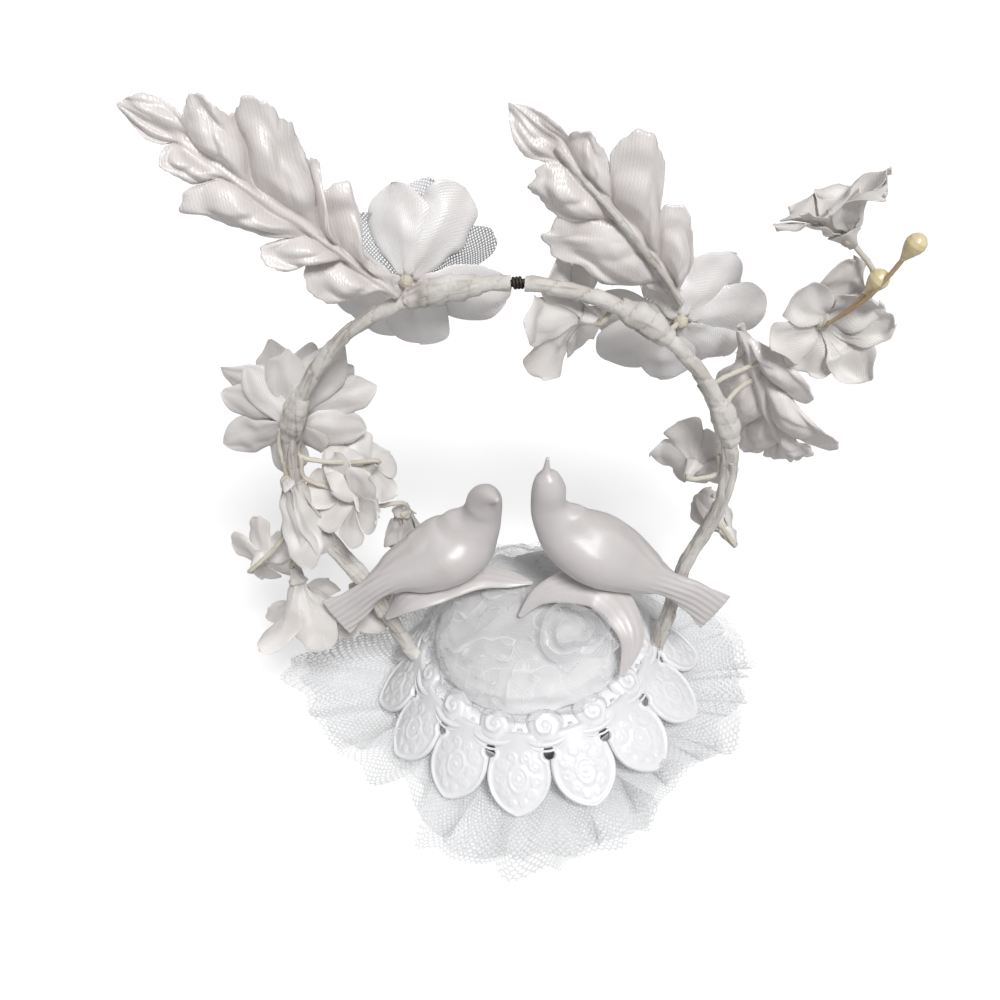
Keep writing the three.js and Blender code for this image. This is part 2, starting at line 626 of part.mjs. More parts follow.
// Flowers: place, pose, where the stem joins the arch, and the layers of petals
const flowers = [
  {
    name: 'flower_left', atShares: [-0.158, 0.045, 0.996],
    arch: leftArch, joinShares: [0.88, 0.93], beside: 60,
    satin: { ...satinShape, petalShares: [
      [92, 0.9], [48, 1.05], [-32, 1.1], [-92, 0.88], [-131, 1.02], [-167, 1.02]] },
    mesh: { ...meshShape, petalShares: [[69, 1], [5, 1.05], [-58, 0.95], [-112, 0.8], [130, 0.8]] },
  },
  {
    name: 'flower_side', atShares: [-0.487, 0.045, 0.72],
    arch: leftArch, joinShares: [0.56, 0.6], beside: 70,
    satin: { ...starShape, petalShares: [
      [-156, 1.1], [163, 0.92], [122, 0.8], [82, 0.9], [47, 1.15], [9, 1.08], [-26, 0.95], [-66, 0.6],
      [-108, 0.92]] },
    inner: { ...innerStarShape, petalShares: [
      [146, 1], [102, 0.9], [64, 0.9], [28, 0.95], [-66, 0.9], [-150, 0.8]] },
  },
  {
    name: 'flower_right', atShares: [0.4, 0.075, 0.86],
    arch: rightArch, joinShares: [0.76, 0.81], beside: 100,
    satin: { ...satinShape, petalShares: [
      [-143, 1], [-172, 0.95], [-104, 0.85], [-58, 0.9], [-6, 0.9], [44, 0.8], [100, 0.7]] },
    mesh: { ...meshShape, petalShares: [
      [-157, 1], [-124, 0.95], [-80, 0.85], [-30, 0.85], [18, 0.8], [110, 0.6]] },
  },
  {
    name: 'blossom_crown', neck: blossomNeck, atShares: [0.196, 0.03, 0.905], turn: 0.95,
    arch: rightArch, joinShares: [0.85, 0.81], beside: 150,
    petals: { ...trumpetShape, length: crownPetalLength, petalShares: evenPetals(5, 18) },
  },
  {
    name: 'blossom_far', atShares: [0.725, 0.02, 1.042], turn: 0.9, tip: 1.0,
    arch: rightArch, joinShares: [0.6, 0.55], beside: 40,
    throughShares: [[0.768, 0, 0.968], [0.775, 0.06, 0.88], [0.62, 0.1, 0.75]],
    petals: { ...closedTrumpetShape, petalShares: evenPetals(5, 30) },
  },
  {
    name: 'blossom_right', atShares: [0.687, 0.04, 0.855], tip: -0.1,
    arch: rightArch, joinShares: [0.63, 0.58], beside: 100,
    throughShares: [[0.57, 0.05, 0.78]],
    petals: { ...faceShape, petalShares: [
      [-2, 1.08], [-52, 1.15], [72, 1.25], [34, 0.9], [-104, 0.9], [-160, 0.85], [120, 0.9]] },
  },
  {
    name: 'bell_upper', atShares: [-0.55, 0.08, 0.6], tip: -1.35,
    arch: leftArch, joinShares: [0.47, 0.5], beside: 170,
    petals: { ...bellShape, petalShares: evenPetals(4, 20) },
  },
];

// Blossoms: small five-petalled ones on short stems, low on the left and the matching right side
const blossoms = [
  {
    name: 'blossom_inner_a', atShares: [-0.372, 0.03, 0.556], turn: 0.3,
    arch: leftArch, joinShares: [0.46, 0.5], beside: 20, start: 10,
  },
  {
    name: 'blossom_inner_b', atShares: [-0.296, 0.045, 0.6], turn: 0.7,
    arch: leftArch, joinShares: [0.5, 0.54], beside: 45, start: 50,
  },
  {
    name: 'blossom_inner_c', atShares: [-0.286, 0.1, 0.44], turn: -0.5,
    arch: leftArch, joinShares: [0.33, 0.37], beside: 60, start: 90,
  },
  {
    name: 'blossom_low_a', atShares: [-0.653, 0.02, 0.39], turn: -0.5,
    arch: leftArch, joinShares: [0.4, 0.44], beside: 150, start: 30,
  },
  {
    name: 'blossom_low_b', atShares: [-0.615, 0.02, 0.18], tip: 0.5,
    arch: leftArch, joinShares: [0.36, 0.4], beside: 120, start: 54,
  },
  {
    name: 'blossom_low_c', atShares: [-0.455, 0.06, 0.235], tip: 0.3,
    arch: leftArch, joinShares: [0.23, 0.27], beside: 130, start: -18,
  },
  {
    name: 'blossom_low_d', atShares: [-0.375, 0.13, 0.2], tip: 0.2,
    arch: leftArch, joinShares: [0.17, 0.21], beside: 60, start: 20,
  },
  {
    name: 'blossom_right_a', atShares: [0.42, 0.05, 0.55], turn: -0.3,
    arch: rightArch, joinShares: [0.46, 0.5], beside: 160, start: 40,
  },
  {
    name: 'blossom_right_b', atShares: [0.5, 0.05, 0.37], turn: 0.3,
    arch: rightArch, joinShares: [0.36, 0.4], beside: 60, start: 10,
  },
];

// A point beside the arch for a stem: at a share of its length, turned round the wire by an angle
function besideArch(curve, share, degrees, diameter) {
  const heading = curve.getTangentAt(share);
  const back = new THREE.Vector3(0, 1, 0);
  const right = new THREE.Vector3().crossVectors(back, heading).normalize();
  const off = archWire / 2 + diameter / 2 + seatGap;
  const side = new THREE.Vector3(Math.sign(right.x) * right.x, 0, Math.sign(right.x) * right.z);
  return curve.getPointAt(share)
    .addScaledVector(side, off * Math.cos(radians(degrees)))
    .addScaledVector(back, off * Math.sin(radians(degrees)));
}

// A flower's stem: from its knot, by any points on the way, to lie beside the arch for a stretch. A
// blossom's stem first runs out of its back by its neck
function flowerStem(spec, grow) {
  const { atShares, arch, joinShares, beside, throughShares = [], neck = 0 } = spec;
  const head = inWreath(atShares);
  const nape = neck > 0 ? [new THREE.Vector3(0, 0, neck).applyMatrix4(flowerPose(spec))] : [];
  const ends = joinShares.map((share) => besideArch(arch, share, beside, stemWire));
  const route = curveThrough([head, ...nape, ...throughShares.map(inWreath), ...ends]);
  const wire = wireAlong(route, stemWire + 2 * grow, 6 + 3 * throughShares.length);
  const knot = new THREE.OctahedronGeometry(knotDiameter / 2 + grow, 1);
  return wire.add(solidOf(knot, new THREE.Matrix4().setPosition(head)));
}

const topper = new THREE.Group();
topper.position.z = tipRise;
const placed = [];
const boxesMeet = (a, b) => [0, 1, 2].every((i) => a.min[i] <= b.max[i] && b.min[i] <= a.max[i]);

// A named mesh whose own origin is the middle of its box
function meshFrom(solid, name, material) {
  const { numProp, vertProperties, triVerts } = solid.getMesh();
  const geometry = new THREE.BufferGeometry();
  geometry.setAttribute('position', new THREE.BufferAttribute(
    Float32Array.from(vertProperties).filter((_, i) => i % numProp < 3), 3));
  geometry.setIndex([...triVerts]);
  geometry.computeBoundingBox();
  const middle = geometry.boundingBox.getCenter(new THREE.Vector3());
  geometry.translate(-middle.x, -middle.y, -middle.z);
  geometry.computeVertexNormals();
  const mesh = new THREE.Mesh(geometry, material);
  mesh.name = name;
  mesh.position.copy(middle);
  return mesh;
}

// Every piece is cut clear of the ones placed before it, and keeps its largest body
function place(group, name, material, build) {
  let solid = build(0);
  for (const other of placed) {
    if (boxesMeet(solid.boundingBox(), other.box)) solid = solid.subtract(other.clear);
  }
  const bodies = solid.simplify(meshTolerance).decompose();
  const whole = bodies.reduce((best, body) => (body.volume() > best.volume() ? body : best));
  const clear = build(seatGap);
  placed.push({ clear, box: clear.boundingBox() });
  group.add(meshFrom(whole, name, material));
}

const subGroup = () => {
  const group = new THREE.Group();
  topper.add(group);
  return group;
};

// Wires first: the arch, its bare tie, the stems and the leaf ribs
const wires = subGroup();
const archWireOf = (curve, grow) =>
  wireAlong(shortened(curve, tieEnd - grow), archWire + 2 * grow, archSteps, roundSides);
place(wires, 'arch_wire_left', paperTape, (grow) => archWireOf(leftArch, grow));
place(wires, 'arch_wire_right', paperTape, (grow) => archWireOf(rightArch, grow));
place(wires, 'arch_tie', darkWire, tieWireSolid);
for (const spec of [...flowers, ...blossoms.map((blossom) => ({ ...blossom, neck: blossomNeck }))]) {
  place(wires, `${spec.name}_stem`, paleWire, (grow) => flowerStem(spec, grow));
}
for (const [name, spec] of Object.entries(leaves)) {
  place(wires, `${name}_rib`, paperTape, (grow) => leafRib(spec, grow));
}

// Doves and their wings
const doves = subGroup();
place(doves, 'dove_left', whitePlastic, (grow) => doveBody(leftDove, grow));
place(doves, 'dove_left_wings', whitePlastic, (grow) => wingPair(leftWings, grow));
place(doves, 'dove_right', whitePlastic, (grow) => doveBody(rightDove, grow));
place(doves, 'dove_right_wings', whitePlastic, (grow) => wingPair(rightWings, grow));

// Base and tulle
const stand = subGroup();
place(stand, 'petal_base', whitePlastic, petalBase);
place(stand, 'tulle_rosette', tulle, tulleRosette);
place(stand, 'tulle_puff', tulle, tullePuff);
place(stand, 'tulle_flounce', tulle, tulleFlounce);

// Leaves, flowers and blossoms
const foliage = subGroup();
for (const [name, spec] of Object.entries(leaves)) {
  place(foliage, `${name}_blade`, satin, (grow) => leafBlade(spec, grow));
}
for (const spec of flowers) {
  for (const [layer, material, setBack] of flowerLayers) {
    if (!spec[layer]) continue;
    place(foliage, `${spec.name}_${layer}`, material, (grow) =>
      corolla({ ...spec[layer], setBack }, flowerPose(spec), grow));
  }
}
for (const spec of blossoms) {
  place(foliage, `${spec.name}_petals`, satin, (grow) =>
    corolla({ ...blossomShape, petalShares: evenPetals(5, spec.start) }, flowerPose(spec), grow));
}

// Tape wraps round the arch where stems join it
const wraps = {
  wrap_crown_left: { arch: leftArch, middleShare: 0.9, lengthShare: 0.07 },
  wrap_side_left: { arch: leftArch, middleShare: 0.58, lengthShare: 0.06 },
  wrap_low_left: { arch: leftArch, middleShare: 0.41, lengthShare: 0.06 },
  wrap_crown_right: { arch: rightArch, middleShare: 0.8, lengthShare: 0.06 },
  wrap_side_right: { arch: rightArch, middleShare: 0.57, lengthShare: 0.06 },
};
for (const [name, spec] of Object.entries(wraps)) {
  place(wires, name, paperTape, (grow) => tapeWrap(spec, grow));
}

// Stamens of the right blossom
const stamens = {
  stamen_upper: { atShares: [0.832, -0.045, 1.03], throughShares: [0.76, -0.03, 0.935] },
  stamen_lower: { atShares: [0.777, -0.02, 0.96], throughShares: [0.735, -0.005, 0.905] },
};
for (const [name, spec] of Object.entries(stamens)) {
  place(wires, name, budWax, (grow) => stamen(spec, grow));
}

export default topper;
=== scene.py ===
import math

import bmesh
import bpy
import numpy as np
from mathutils import Euler, Matrix, Vector, noise


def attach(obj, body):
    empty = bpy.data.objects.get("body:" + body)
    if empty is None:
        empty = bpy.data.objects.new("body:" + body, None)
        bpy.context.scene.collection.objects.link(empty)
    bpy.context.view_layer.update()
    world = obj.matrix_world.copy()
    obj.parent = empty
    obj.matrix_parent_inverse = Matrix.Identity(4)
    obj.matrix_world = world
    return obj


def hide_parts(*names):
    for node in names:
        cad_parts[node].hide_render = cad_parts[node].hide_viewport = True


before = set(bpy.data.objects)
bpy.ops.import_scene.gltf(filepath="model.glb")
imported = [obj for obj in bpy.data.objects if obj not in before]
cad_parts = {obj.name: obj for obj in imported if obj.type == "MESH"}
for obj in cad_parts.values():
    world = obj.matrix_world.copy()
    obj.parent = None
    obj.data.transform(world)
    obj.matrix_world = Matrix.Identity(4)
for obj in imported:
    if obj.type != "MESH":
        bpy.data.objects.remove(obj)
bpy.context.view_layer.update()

# Table, daylight and view. The topper stands on a plain white table under soft light from a large
# window behind the viewer. The view was worked out from the photograph.

view_place = (0.02640, -0.19791, 0.23454)
view_right = (0.99192, 0.04574, -0.11834)
view_up = (0.06009, 0.65214, 0.75571)
view_back = (0.11174, -0.75672, 0.64412)
view_lens = 41.256
table_size = 8.0
table_white = "#C8C8C8"
window_light, window_angle = 2.75, 0.3
room_light, room_angle = 0.42, 1.2
sky_light = 0.16
table_glow = 0.56


def linear(hex_colour):
    """An sRGB hex colour as linear red, green, blue and alpha."""
    shares = [int(hex_colour[i:i + 2], 16) / 255 for i in (1, 3, 5)]
    return (*(s / 12.92 if s <= 0.04045 else ((s + 0.055) / 1.055) ** 2.4 for s in shares), 1.0)


def add(tree, kind, settings=()):
    """A node of one kind, with its settings and links. A colour is given as hex, and what feeds a
    socket as one output of another node, or as the node where that is its first output."""
    made = tree.nodes.new(kind)
    for key, value in dict(settings).items():
        if isinstance(value, bpy.types.Node):
            value = value.outputs[0]
        if isinstance(value, bpy.types.NodeSocket):
            tree.links.new(value, made.inputs[key])
        elif isinstance(key, str) and hasattr(made, key):
            setattr(made, key, value)
        else:
            made.inputs[key].default_value = linear(value) if str(value)[0] == "#" else value
    return made


def new_finish(name):
    """An empty node material named for what the real surface is."""
    finish = bpy.data.materials.new(name)
    finish.use_nodes = True
    finish.node_tree.nodes.clear()
    return finish, finish.node_tree


def placed(name, data):
    """An object in the scene with this data."""
    made = bpy.data.objects.new(name, data)
    bpy.context.collection.objects.link(made)
    return made


view = placed("view", bpy.data.cameras.new("view"))
view.matrix_world = Matrix.Translation(view_place) @ Matrix(
    (view_right, view_up, view_back)).transposed().to_4x4()
view.data.sensor_width = 36
view.data.lens = view_lens
view.data.clip_start = 0.01
bpy.context.scene.camera = view
bpy.context.scene.view_settings.view_transform = "Standard"

# Painted table top: matt and pale, so it keeps a soft shadow and no gloss. The camera sees it lighter
# than it lights the object, which makes the background white and leaves undersides in shade
table_paint, tree = new_finish("matt_white_table_paint")
paint = add(tree, "ShaderNodeBsdfPrincipled", {
    "Base Color": table_white, "Roughness": 0.9, "Specular IOR Level": 0.1})
ray = add(tree, "ShaderNodeLightPath")
level = add(tree, "ShaderNodeMapRange", {"To Max": table_glow, "Value": ray.outputs["Is Camera Ray"]})
lift = add(tree, "ShaderNodeEmission", {"Strength": level})
both = add(tree, "ShaderNodeAddShader", {0: paint, 1: lift})
add(tree, "ShaderNodeOutputMaterial", {"Surface": both})
table_mesh = bpy.data.meshes.new("table_top")
half_table = table_size / 2
table_mesh.from_pydata(
    [(-half_table, -half_table, 0), (half_table, -half_table, 0),
     (half_table, half_table, 0), (-half_table, half_table, 0)], [], [(0, 1, 2, 3)])
table_mesh.materials.append(table_paint)
table = placed("table_top", table_mesh)

# Daylight: the window, the pale room opposite it, and an even sky that looks white behind all
for name, strength, spread, direction in (
        ("window", window_light, window_angle, (0.38, -0.66, 0.95)),
        ("room", room_light, room_angle, (-0.8, 0.35, 0.9))):
    lamp = bpy.data.lights.new(name, "SUN")
    lamp.energy = strength
    lamp.angle = spread
    placed(name, lamp).rotation_euler = Vector(direction).to_track_quat("Z", "Y").to_euler()
sky = bpy.data.worlds.new("even_sky")
sky.use_nodes = True
sky.node_tree.nodes.clear()
ray = add(sky.node_tree, "ShaderNodeLightPath")
seen = add(sky.node_tree, "ShaderNodeMath", {
    "operation": "MAXIMUM", 0: ray.outputs["Is Camera Ray"], 1: ray.outputs["Is Glossy Ray"]})
seen = add(sky.node_tree, "ShaderNodeMath", {
    "operation": "MAXIMUM", 0: seen, 1: ray.outputs["Is Transmission Ray"]})
level = add(sky.node_tree, "ShaderNodeMapRange", {"To Min": sky_light, "To Max": 1.0, "Value": seen})
glow = add(sky.node_tree, "ShaderNodeBackground", {"Color": (1, 1, 1, 1), "Strength": level})
add(sky.node_tree, "ShaderNodeOutputWorld", {"Surface": glow})
bpy.context.scene.world = sky

# Petal base: one injection moulding of hard white polystyrene. A cup and shoulder carry a ring of
# roses in relief over scalloped swags, and a skirt of fourteen embossed petals slopes to the table.
# The tulle is pushed into the cup, and ribbon could be threaded through the holes between petals.

mm = 0.001
tip_rise = 3.4
petal_count = 14
tip_radius = 42.3
widest_radius = 35.0
hole_radius = 31.9
hole_diameter = 2.4
skirt_slope = 10.45 / (tip_radius - hole_radius)
shell_wall = 1.1
cup_radius = 23.8
rim_height = 18.2
rose_radius = 26.5
swag_radius = 27.0
petal_pitch = 2 * math.pi / petal_count
first_petal = -math.pi / 2 - 0.22 * petal_pitch


def grid(rows, columns):
    """Two arrays over a grid: the row's value and the column's value at each of its points."""
    return np.meshgrid(rows, columns, indexing="ij")


def grid_faces(rows, columns, closed=False):
    """The quads of a grid of points laid out row by row, closed=True where a row is a ring."""
    r, c = (n.ravel() for n in grid(np.arange(rows - 1), np.arange(columns if closed else columns - 1)))
    across = (c + 1) % columns
    return np.stack([r * columns + c, r * columns + across,
                     (r + 1) * columns + across, (r + 1) * columns + c], 1).tolist()


def closed_shell(rings, first, last):
    """A skin over rings of points, closed at each end about one more point: its points and faces."""
    rows, around = rings.shape[:2]
    points = np.concatenate([rings.reshape(-1, 3), [first, last]])
    faces = grid_faces(rows, around, True)
    faces += [[len(points) - 2, (k + 1) % around, k] for k in range(around)]
    low = (rows - 1) * around
    faces += [[len(points) - 1, low + k, low + (k + 1) % around] for k in range(around)]
    return points, faces


def spots_of(x, y, z):
    """A list of points from arrays of their x, y and z."""
    return np.stack([x, y, z], -1).reshape(-1, 3)


def turns_of(count):
    """Angles at even steps round a circle."""
    return np.arange(count) * 2 * math.pi / count


def hump(value, place, width):
    """1 at a place, falling away smoothly on both sides of it."""
    return np.exp(-((value - place) / width) ** 2)


def ramp(value, start, span):
    """0 up to a start, 1 beyond a span, and straight between them."""
    return np.clip((value - start) / span, 0, 1)


def unit(vectors):
    """Vectors brought to a length of one."""
    return vectors / np.linalg.norm(vectors, axis=-1, keepdims=True)


def piece_of(name, points, faces, finish, cut=None, marks=()):
    """A smooth mesh piece from points in mm: cut is its UV map in mm, marks its named values."""
    mesh = bpy.data.meshes.new(name)
    mesh.from_pydata((np.asarray(points, float) * mm).tolist(), [], faces)
    if cut is not None:
        corner = np.empty(len(mesh.loops), np.int32)
        mesh.loops.foreach_get("vertex_index", corner)
        layer = mesh.uv_layers.new(name="cut")
        layer.uv.foreach_set("vector", np.asarray(cut, np.float32)[corner].ravel())
    for key, values in dict(marks).items():
        mesh.attributes.new(key, "FLOAT", "POINT").data.foreach_set(
            "value", np.asarray(values, np.float32).ravel())
    mesh.polygons.foreach_set("use_smooth", [True] * len(mesh.polygons))
    mesh.materials.append(finish)
    return placed(name, mesh)


def tidied(piece, outward=True):
    """Merges doubled points, drops flat faces, and turns the faces outward."""
    form = bmesh.new()
    form.from_mesh(piece.data)
    bmesh.ops.remove_doubles(form, verts=form.verts, dist=1e-6)
    bmesh.ops.dissolve_degenerate(form, edges=form.edges, dist=1e-7)
    if outward:
        bmesh.ops.recalc_face_normals(form, faces=form.faces)
    form.to_mesh(piece.data)
    form.free()
    return piece


def settled(piece):
    """The plain mesh that a piece's modifiers make, put in place of its mesh and modifiers."""
    graph = bpy.context.evaluated_depsgraph_get()
    mesh = bpy.data.meshes.new_from_object(
        piece.evaluated_get(graph), preserve_all_data_layers=True, depsgraph=graph)
    piece.modifiers.clear()
    old, piece.data = piece.data, mesh
    mesh.name = piece.name
    bpy.data.meshes.remove(old)
    mesh.polygons.foreach_set("use_smooth", [True] * len(mesh.polygons))
    return piece


def joined(name, pieces):
    """One piece from several plain ones of the same finish."""
    form = bmesh.new()
    for piece in pieces:
        form.from_mesh(piece.data)
    mesh = bpy.data.meshes.new(name)
    form.to_mesh(mesh)
    form.free()
    mesh.materials.append(pieces[0].data.materials[0])
    for piece in pieces:
        bpy.data.meshes.remove(piece.data)
    mesh.name = name
    return placed(name, mesh)


def new_tree(name, sockets):
    """A Geometry Nodes tree with named inputs, given as name, socket type and default."""
    tree = bpy.data.node_groups.new(name, "GeometryNodeTree")
    tree.interface.new_socket(name="Geometry", in_out="INPUT", socket_type="NodeSocketGeometry")
    for label, kind, default in sockets:
        socket = tree.interface.new_socket(name=label, in_out="INPUT", socket_type=kind)
        if default is not None:
            socket.default_value = default
    tree.interface.new_socket(name="Geometry", in_out="OUTPUT", socket_type="NodeSocketGeometry")
    return tree


def run_tree(piece, tree, values):
    """Runs a Geometry Nodes tree on a piece and keeps the mesh that it makes."""
    step = piece.modifiers.new(tree.name, "NODES")
    step.node_group = tree
    for socket in tree.interface.items_tree:
        if socket.in_out == "INPUT" and socket.name in values:
            step[socket.identifier] = values[socket.name]
    return settled(piece)


def plastic_finish(name, clear, cloudy, depth, gloss_low, gloss_high):
    """Moulded polystyrene: cloudy in patches, with handling scuffs, and grey in its recesses, dusty
    and in painted shade.
    """
    finish, tree = new_finish(name)
    place = add(tree, "ShaderNodeTexCoord").outputs["Object"]
    hollow = add(tree, "ShaderNodeAttribute", {"attribute_name": "hollow"})
    cloud, ripple, scuff = (
        add(tree, "ShaderNodeTexNoise", {"Scale": scale, "Detail": detail, "Vector": place})
        for scale, detail in ((110.0, 4.0), (480.0, 3.0), (2600.0, 2.0)))
    tone = add(tree, "ShaderNodeMix", {"data_type": "RGBA", 0: cloud, 6: clear, 7: cloudy})
    # Recesses marked hollow are mixed toward grey: dusty, and painted shade
    dust_and_shade = add(tree, "ShaderNodeMix", {
        "data_type": "RGBA", 0: hollow.outputs["Fac"], 6: tone.outputs[2], 7: "#BDBBBA"})
    gloss = add(tree, "ShaderNodeMapRange", {
        "To Min": gloss_low, "To Max": gloss_high, "Value": ripple})
    relief = add(tree, "ShaderNodeBump", {"Strength": 0.22, "Distance": 0.0003, "Height": ripple})
    relief = add(tree, "ShaderNodeBump", {
        "Strength": 0.08, "Distance": 0.0001, "Height": scuff, "Normal": relief})
    plastic = add(tree, "ShaderNodeBsdfPrincipled", {
        "IOR": 1.55, "Subsurface Weight": depth, "Subsurface Radius": (1.0, 0.9, 0.85),
        "Subsurface Scale": 0.0015, "Base Color": dust_and_shade.outputs[2], "Roughness": gloss,
        "Normal": relief})
    add(tree, "ShaderNodeOutputMaterial", {"Surface": plastic})
    return finish


# The base's plastic: hard, glossy and clean white
polystyrene = plastic_finish("moulded_polystyrene", "#F1F1F3", "#E6E6E8", 0.12, 0.2, 0.42)

# A ring of one moulded form: the form is drawn on the +X side and repeated about the axis
ring_tree = new_tree("ring_of_mouldings", [
    ("Count", "NodeSocketInt", petal_count), ("First", "NodeSocketFloat", 0.0),
    ("Pitch", "NodeSocketFloat", petal_pitch), ("Finish", "NodeSocketMaterial", None)])
given = add(ring_tree, "NodeGroupInput").outputs
spots = add(ring_tree, "GeometryNodePoints", {"Count": given["Count"]})
number = add(ring_tree, "GeometryNodeInputIndex")
turn = add(ring_tree, "ShaderNodeMath", {
    "operation": "MULTIPLY_ADD", 0: number, 1: given["Pitch"], 2: given["First"]})
turn = add(ring_tree, "ShaderNodeCombineXYZ", {"Z": turn})
copies = add(ring_tree, "GeometryNodeInstanceOnPoints", {
    "Points": spots, "Instance": given["Geometry"], "Rotation": turn})
whole = add(ring_tree, "GeometryNodeRealizeInstances", {0: copies})
whole = add(ring_tree, "GeometryNodeSetMaterial", {"Geometry": whole, "Material": given["Finish"]})
add(ring_tree, "NodeGroupOutput", {0: whole})


def ring_of(piece, first):
    """A ring of the base's mouldings: the form repeated from a first angle on."""
    return run_tree(piece, ring_tree, {
        "Count": petal_count, "First": first, "Pitch": petal_pitch, "Finish": polystyrene})


def slope_top(radius):
    """Height of the skirt's face at a radius."""
    return tip_rise + (tip_radius - radius) * skirt_slope


def ridge_near(spots, line, height, width):
    """A rounded ridge along a drawn line, at each of the spots, in mm."""
    gap = np.sqrt(((spots[:, None, :] - line[None, :, :]) ** 2).sum(2)).min(1)
    return height * hump(gap, 0, width)


def scroll(x, y, start, end, angle, turns):
    """A spiral scroll about (x, y) from one radius to another, in mm."""
    t = np.linspace(0, 1, 40)
    r = start + (end - start) * t
    return np.stack([x + r * np.cos(angle + 2 * math.pi * turns * t),
                     y + r * np.sin(angle + 2 * math.pi * turns * t)], 1)


# One petal: rows down the slope, thick where the holes and the point need them
radii = np.unique(np.concatenate([
    np.linspace(28.4, 30.7, 4), np.linspace(30.7, 33.1, 11), np.linspace(33.1, 38.0, 19),
    tip_radius - 4.3 * np.linspace(1, 0, 21) ** 1.5]))
sides = np.linspace(-1, 1, 45)
seam = 0.09
hole = np.sqrt(np.clip((hole_diameter / 2) ** 2 - (radii - hole_radius) ** 2, 0, None))
beyond = ramp(radii, widest_radius, tip_radius - widest_radius)
half_turn = (petal_pitch / 2 - seam / radii) * (1 - beyond ** 2) ** 0.68 - hole / radii
R, V = grid(radii, sides)
T = V * half_turn[:, None]
spots = np.stack([(R * T).ravel(), ((R - widest_radius) * math.hypot(1, skirt_slope)).ravel()], 1)
edge = spots.reshape(len(radii), len(sides), 2)[9:, [0, -1]].reshape(-1, 2)
to_edge = np.sqrt(((spots[:, None, :] - edge[None]) ** 2).sum(2)).min(1)
face = 0.5 * hump(to_edge, 0.62, 0.42) - 0.32 * np.exp(-to_edge / 0.16)
oval = np.hypot(spots[:, 0] / 2.1, (spots[:, 1] - 1.4) / 2.9)
face += 0.34 * hump(oval, 1, 0.16) + 0.26 * hump(oval, 0.55, 0.13)
face += 0.42 * hump(oval, 0, 0.24)
inside = ramp(to_edge, 1.1, 0.4)
scrolls = [scroll(1.7, -3.6, 1.2, 0.25, 2.0, 1.2), scroll(4.2, -1.7, 1.5, 0.3, 3.6, -1.5),
           scroll(4.5, 1.9, 1.35, 0.3, 1.8, 1.4), scroll(3.1, 4.9, 1.25, 0.28, 0.6, -1.4),
           scroll(1.2, 6.9, 0.85, 0.2, 5.2, 1.2), scroll(2.6, 0.4, 0.75, 0.2, 0.0, 1.1)]
for line in scrolls:
    for way in (1, -1):
        face += inside * ridge_near(spots, line * [way, 1], 0.3, 0.24)
face += 0.55 * (1 - V.ravel() ** 2) - 0.25
# hollow_mark: the relief's recesses, later greyed as dusty and in painted shade
hollow_mark = np.clip(0.5 - 1.4 * (face - 0.55 * (1 - V.ravel() ** 2) + 0.25), 0, 1) * inside * 0.3
top = spots_of(R * np.cos(T), R * np.sin(T), slope_top(R))
lean = math.atan(skirt_slope)
normal = spots_of(math.sin(lean) * np.cos(T), math.sin(lean) * np.sin(T),
                  math.cos(lean) * np.ones_like(T))
upper = top + normal * face[:, None]
lower = top - normal * shell_wall
rows, columns = R.shape
faces = grid_faces(rows, columns)
under = [[i + rows * columns for i in reversed(f)] for f in faces]
border = ([(0, c) for c in range(columns)] + [(r, columns - 1) for r in range(1, rows)]
          + [(rows - 1, c) for c in range(columns - 2, -1, -1)] + [(r, 0) for r in range(rows - 2, 0, -1)])
rim = [r * columns + c for r, c in border]
wall = [[rim[i], rim[(i + 1) % len(rim)], rim[(i + 1) % len(rim)] + rows * columns,
         rim[i] + rows * columns] for i in range(len(rim))]
petal = piece_of("petal", np.concatenate([upper, lower]), faces + under + wall, polystyrene,
                 marks={"hollow": np.concatenate([hollow_mark, np.zeros(len(lower))])})
petals = ring_of(tidied(petal), first_petal)

# Cup and shoulder, turned about the axis
neck = hole_radius - hole_diameter / 2
profile = np.array([
    (0, 0.5), (21.6, 0.5), (22.2, 0.0), (23.2, 0.0), (cup_radius, 0.5), (cup_radius, 11.0), (25.2, 12.6),
    (28.0, 13.0), (neck - 0.6, slope_top(neck) - 1.6), (neck, slope_top(neck) - 1.0),
    (neck + 0.05, slope_top(neck) - 0.2), (neck - 0.3, slope_top(neck) + 0.15),
    (29.2, 15.85), (27.6, 16.6), (26.0, 17.4), (24.8, 18.0), (24.0, rim_height), (23.2, rim_height),
    (22.7, 17.8), (22.6, 16.0), (22.6, 8.0), (21.8, 4.6), (0, 4.5)])
around = 168
angles = turns_of(around)
rings = profile[1:-1]
walls = np.stack([np.outer(rings[:, 0], np.cos(angles)), np.outer(rings[:, 0], np.sin(angles)),
                  np.repeat(rings[:, 1:], around, 1)], -1)
points, faces = closed_shell(walls, (0, 0, profile[0, 1]), (0, 0, profile[-1, 1]))
cup = tidied(piece_of("cup", points, faces, polystyrene, marks={"hollow": np.zeros(len(points))}))

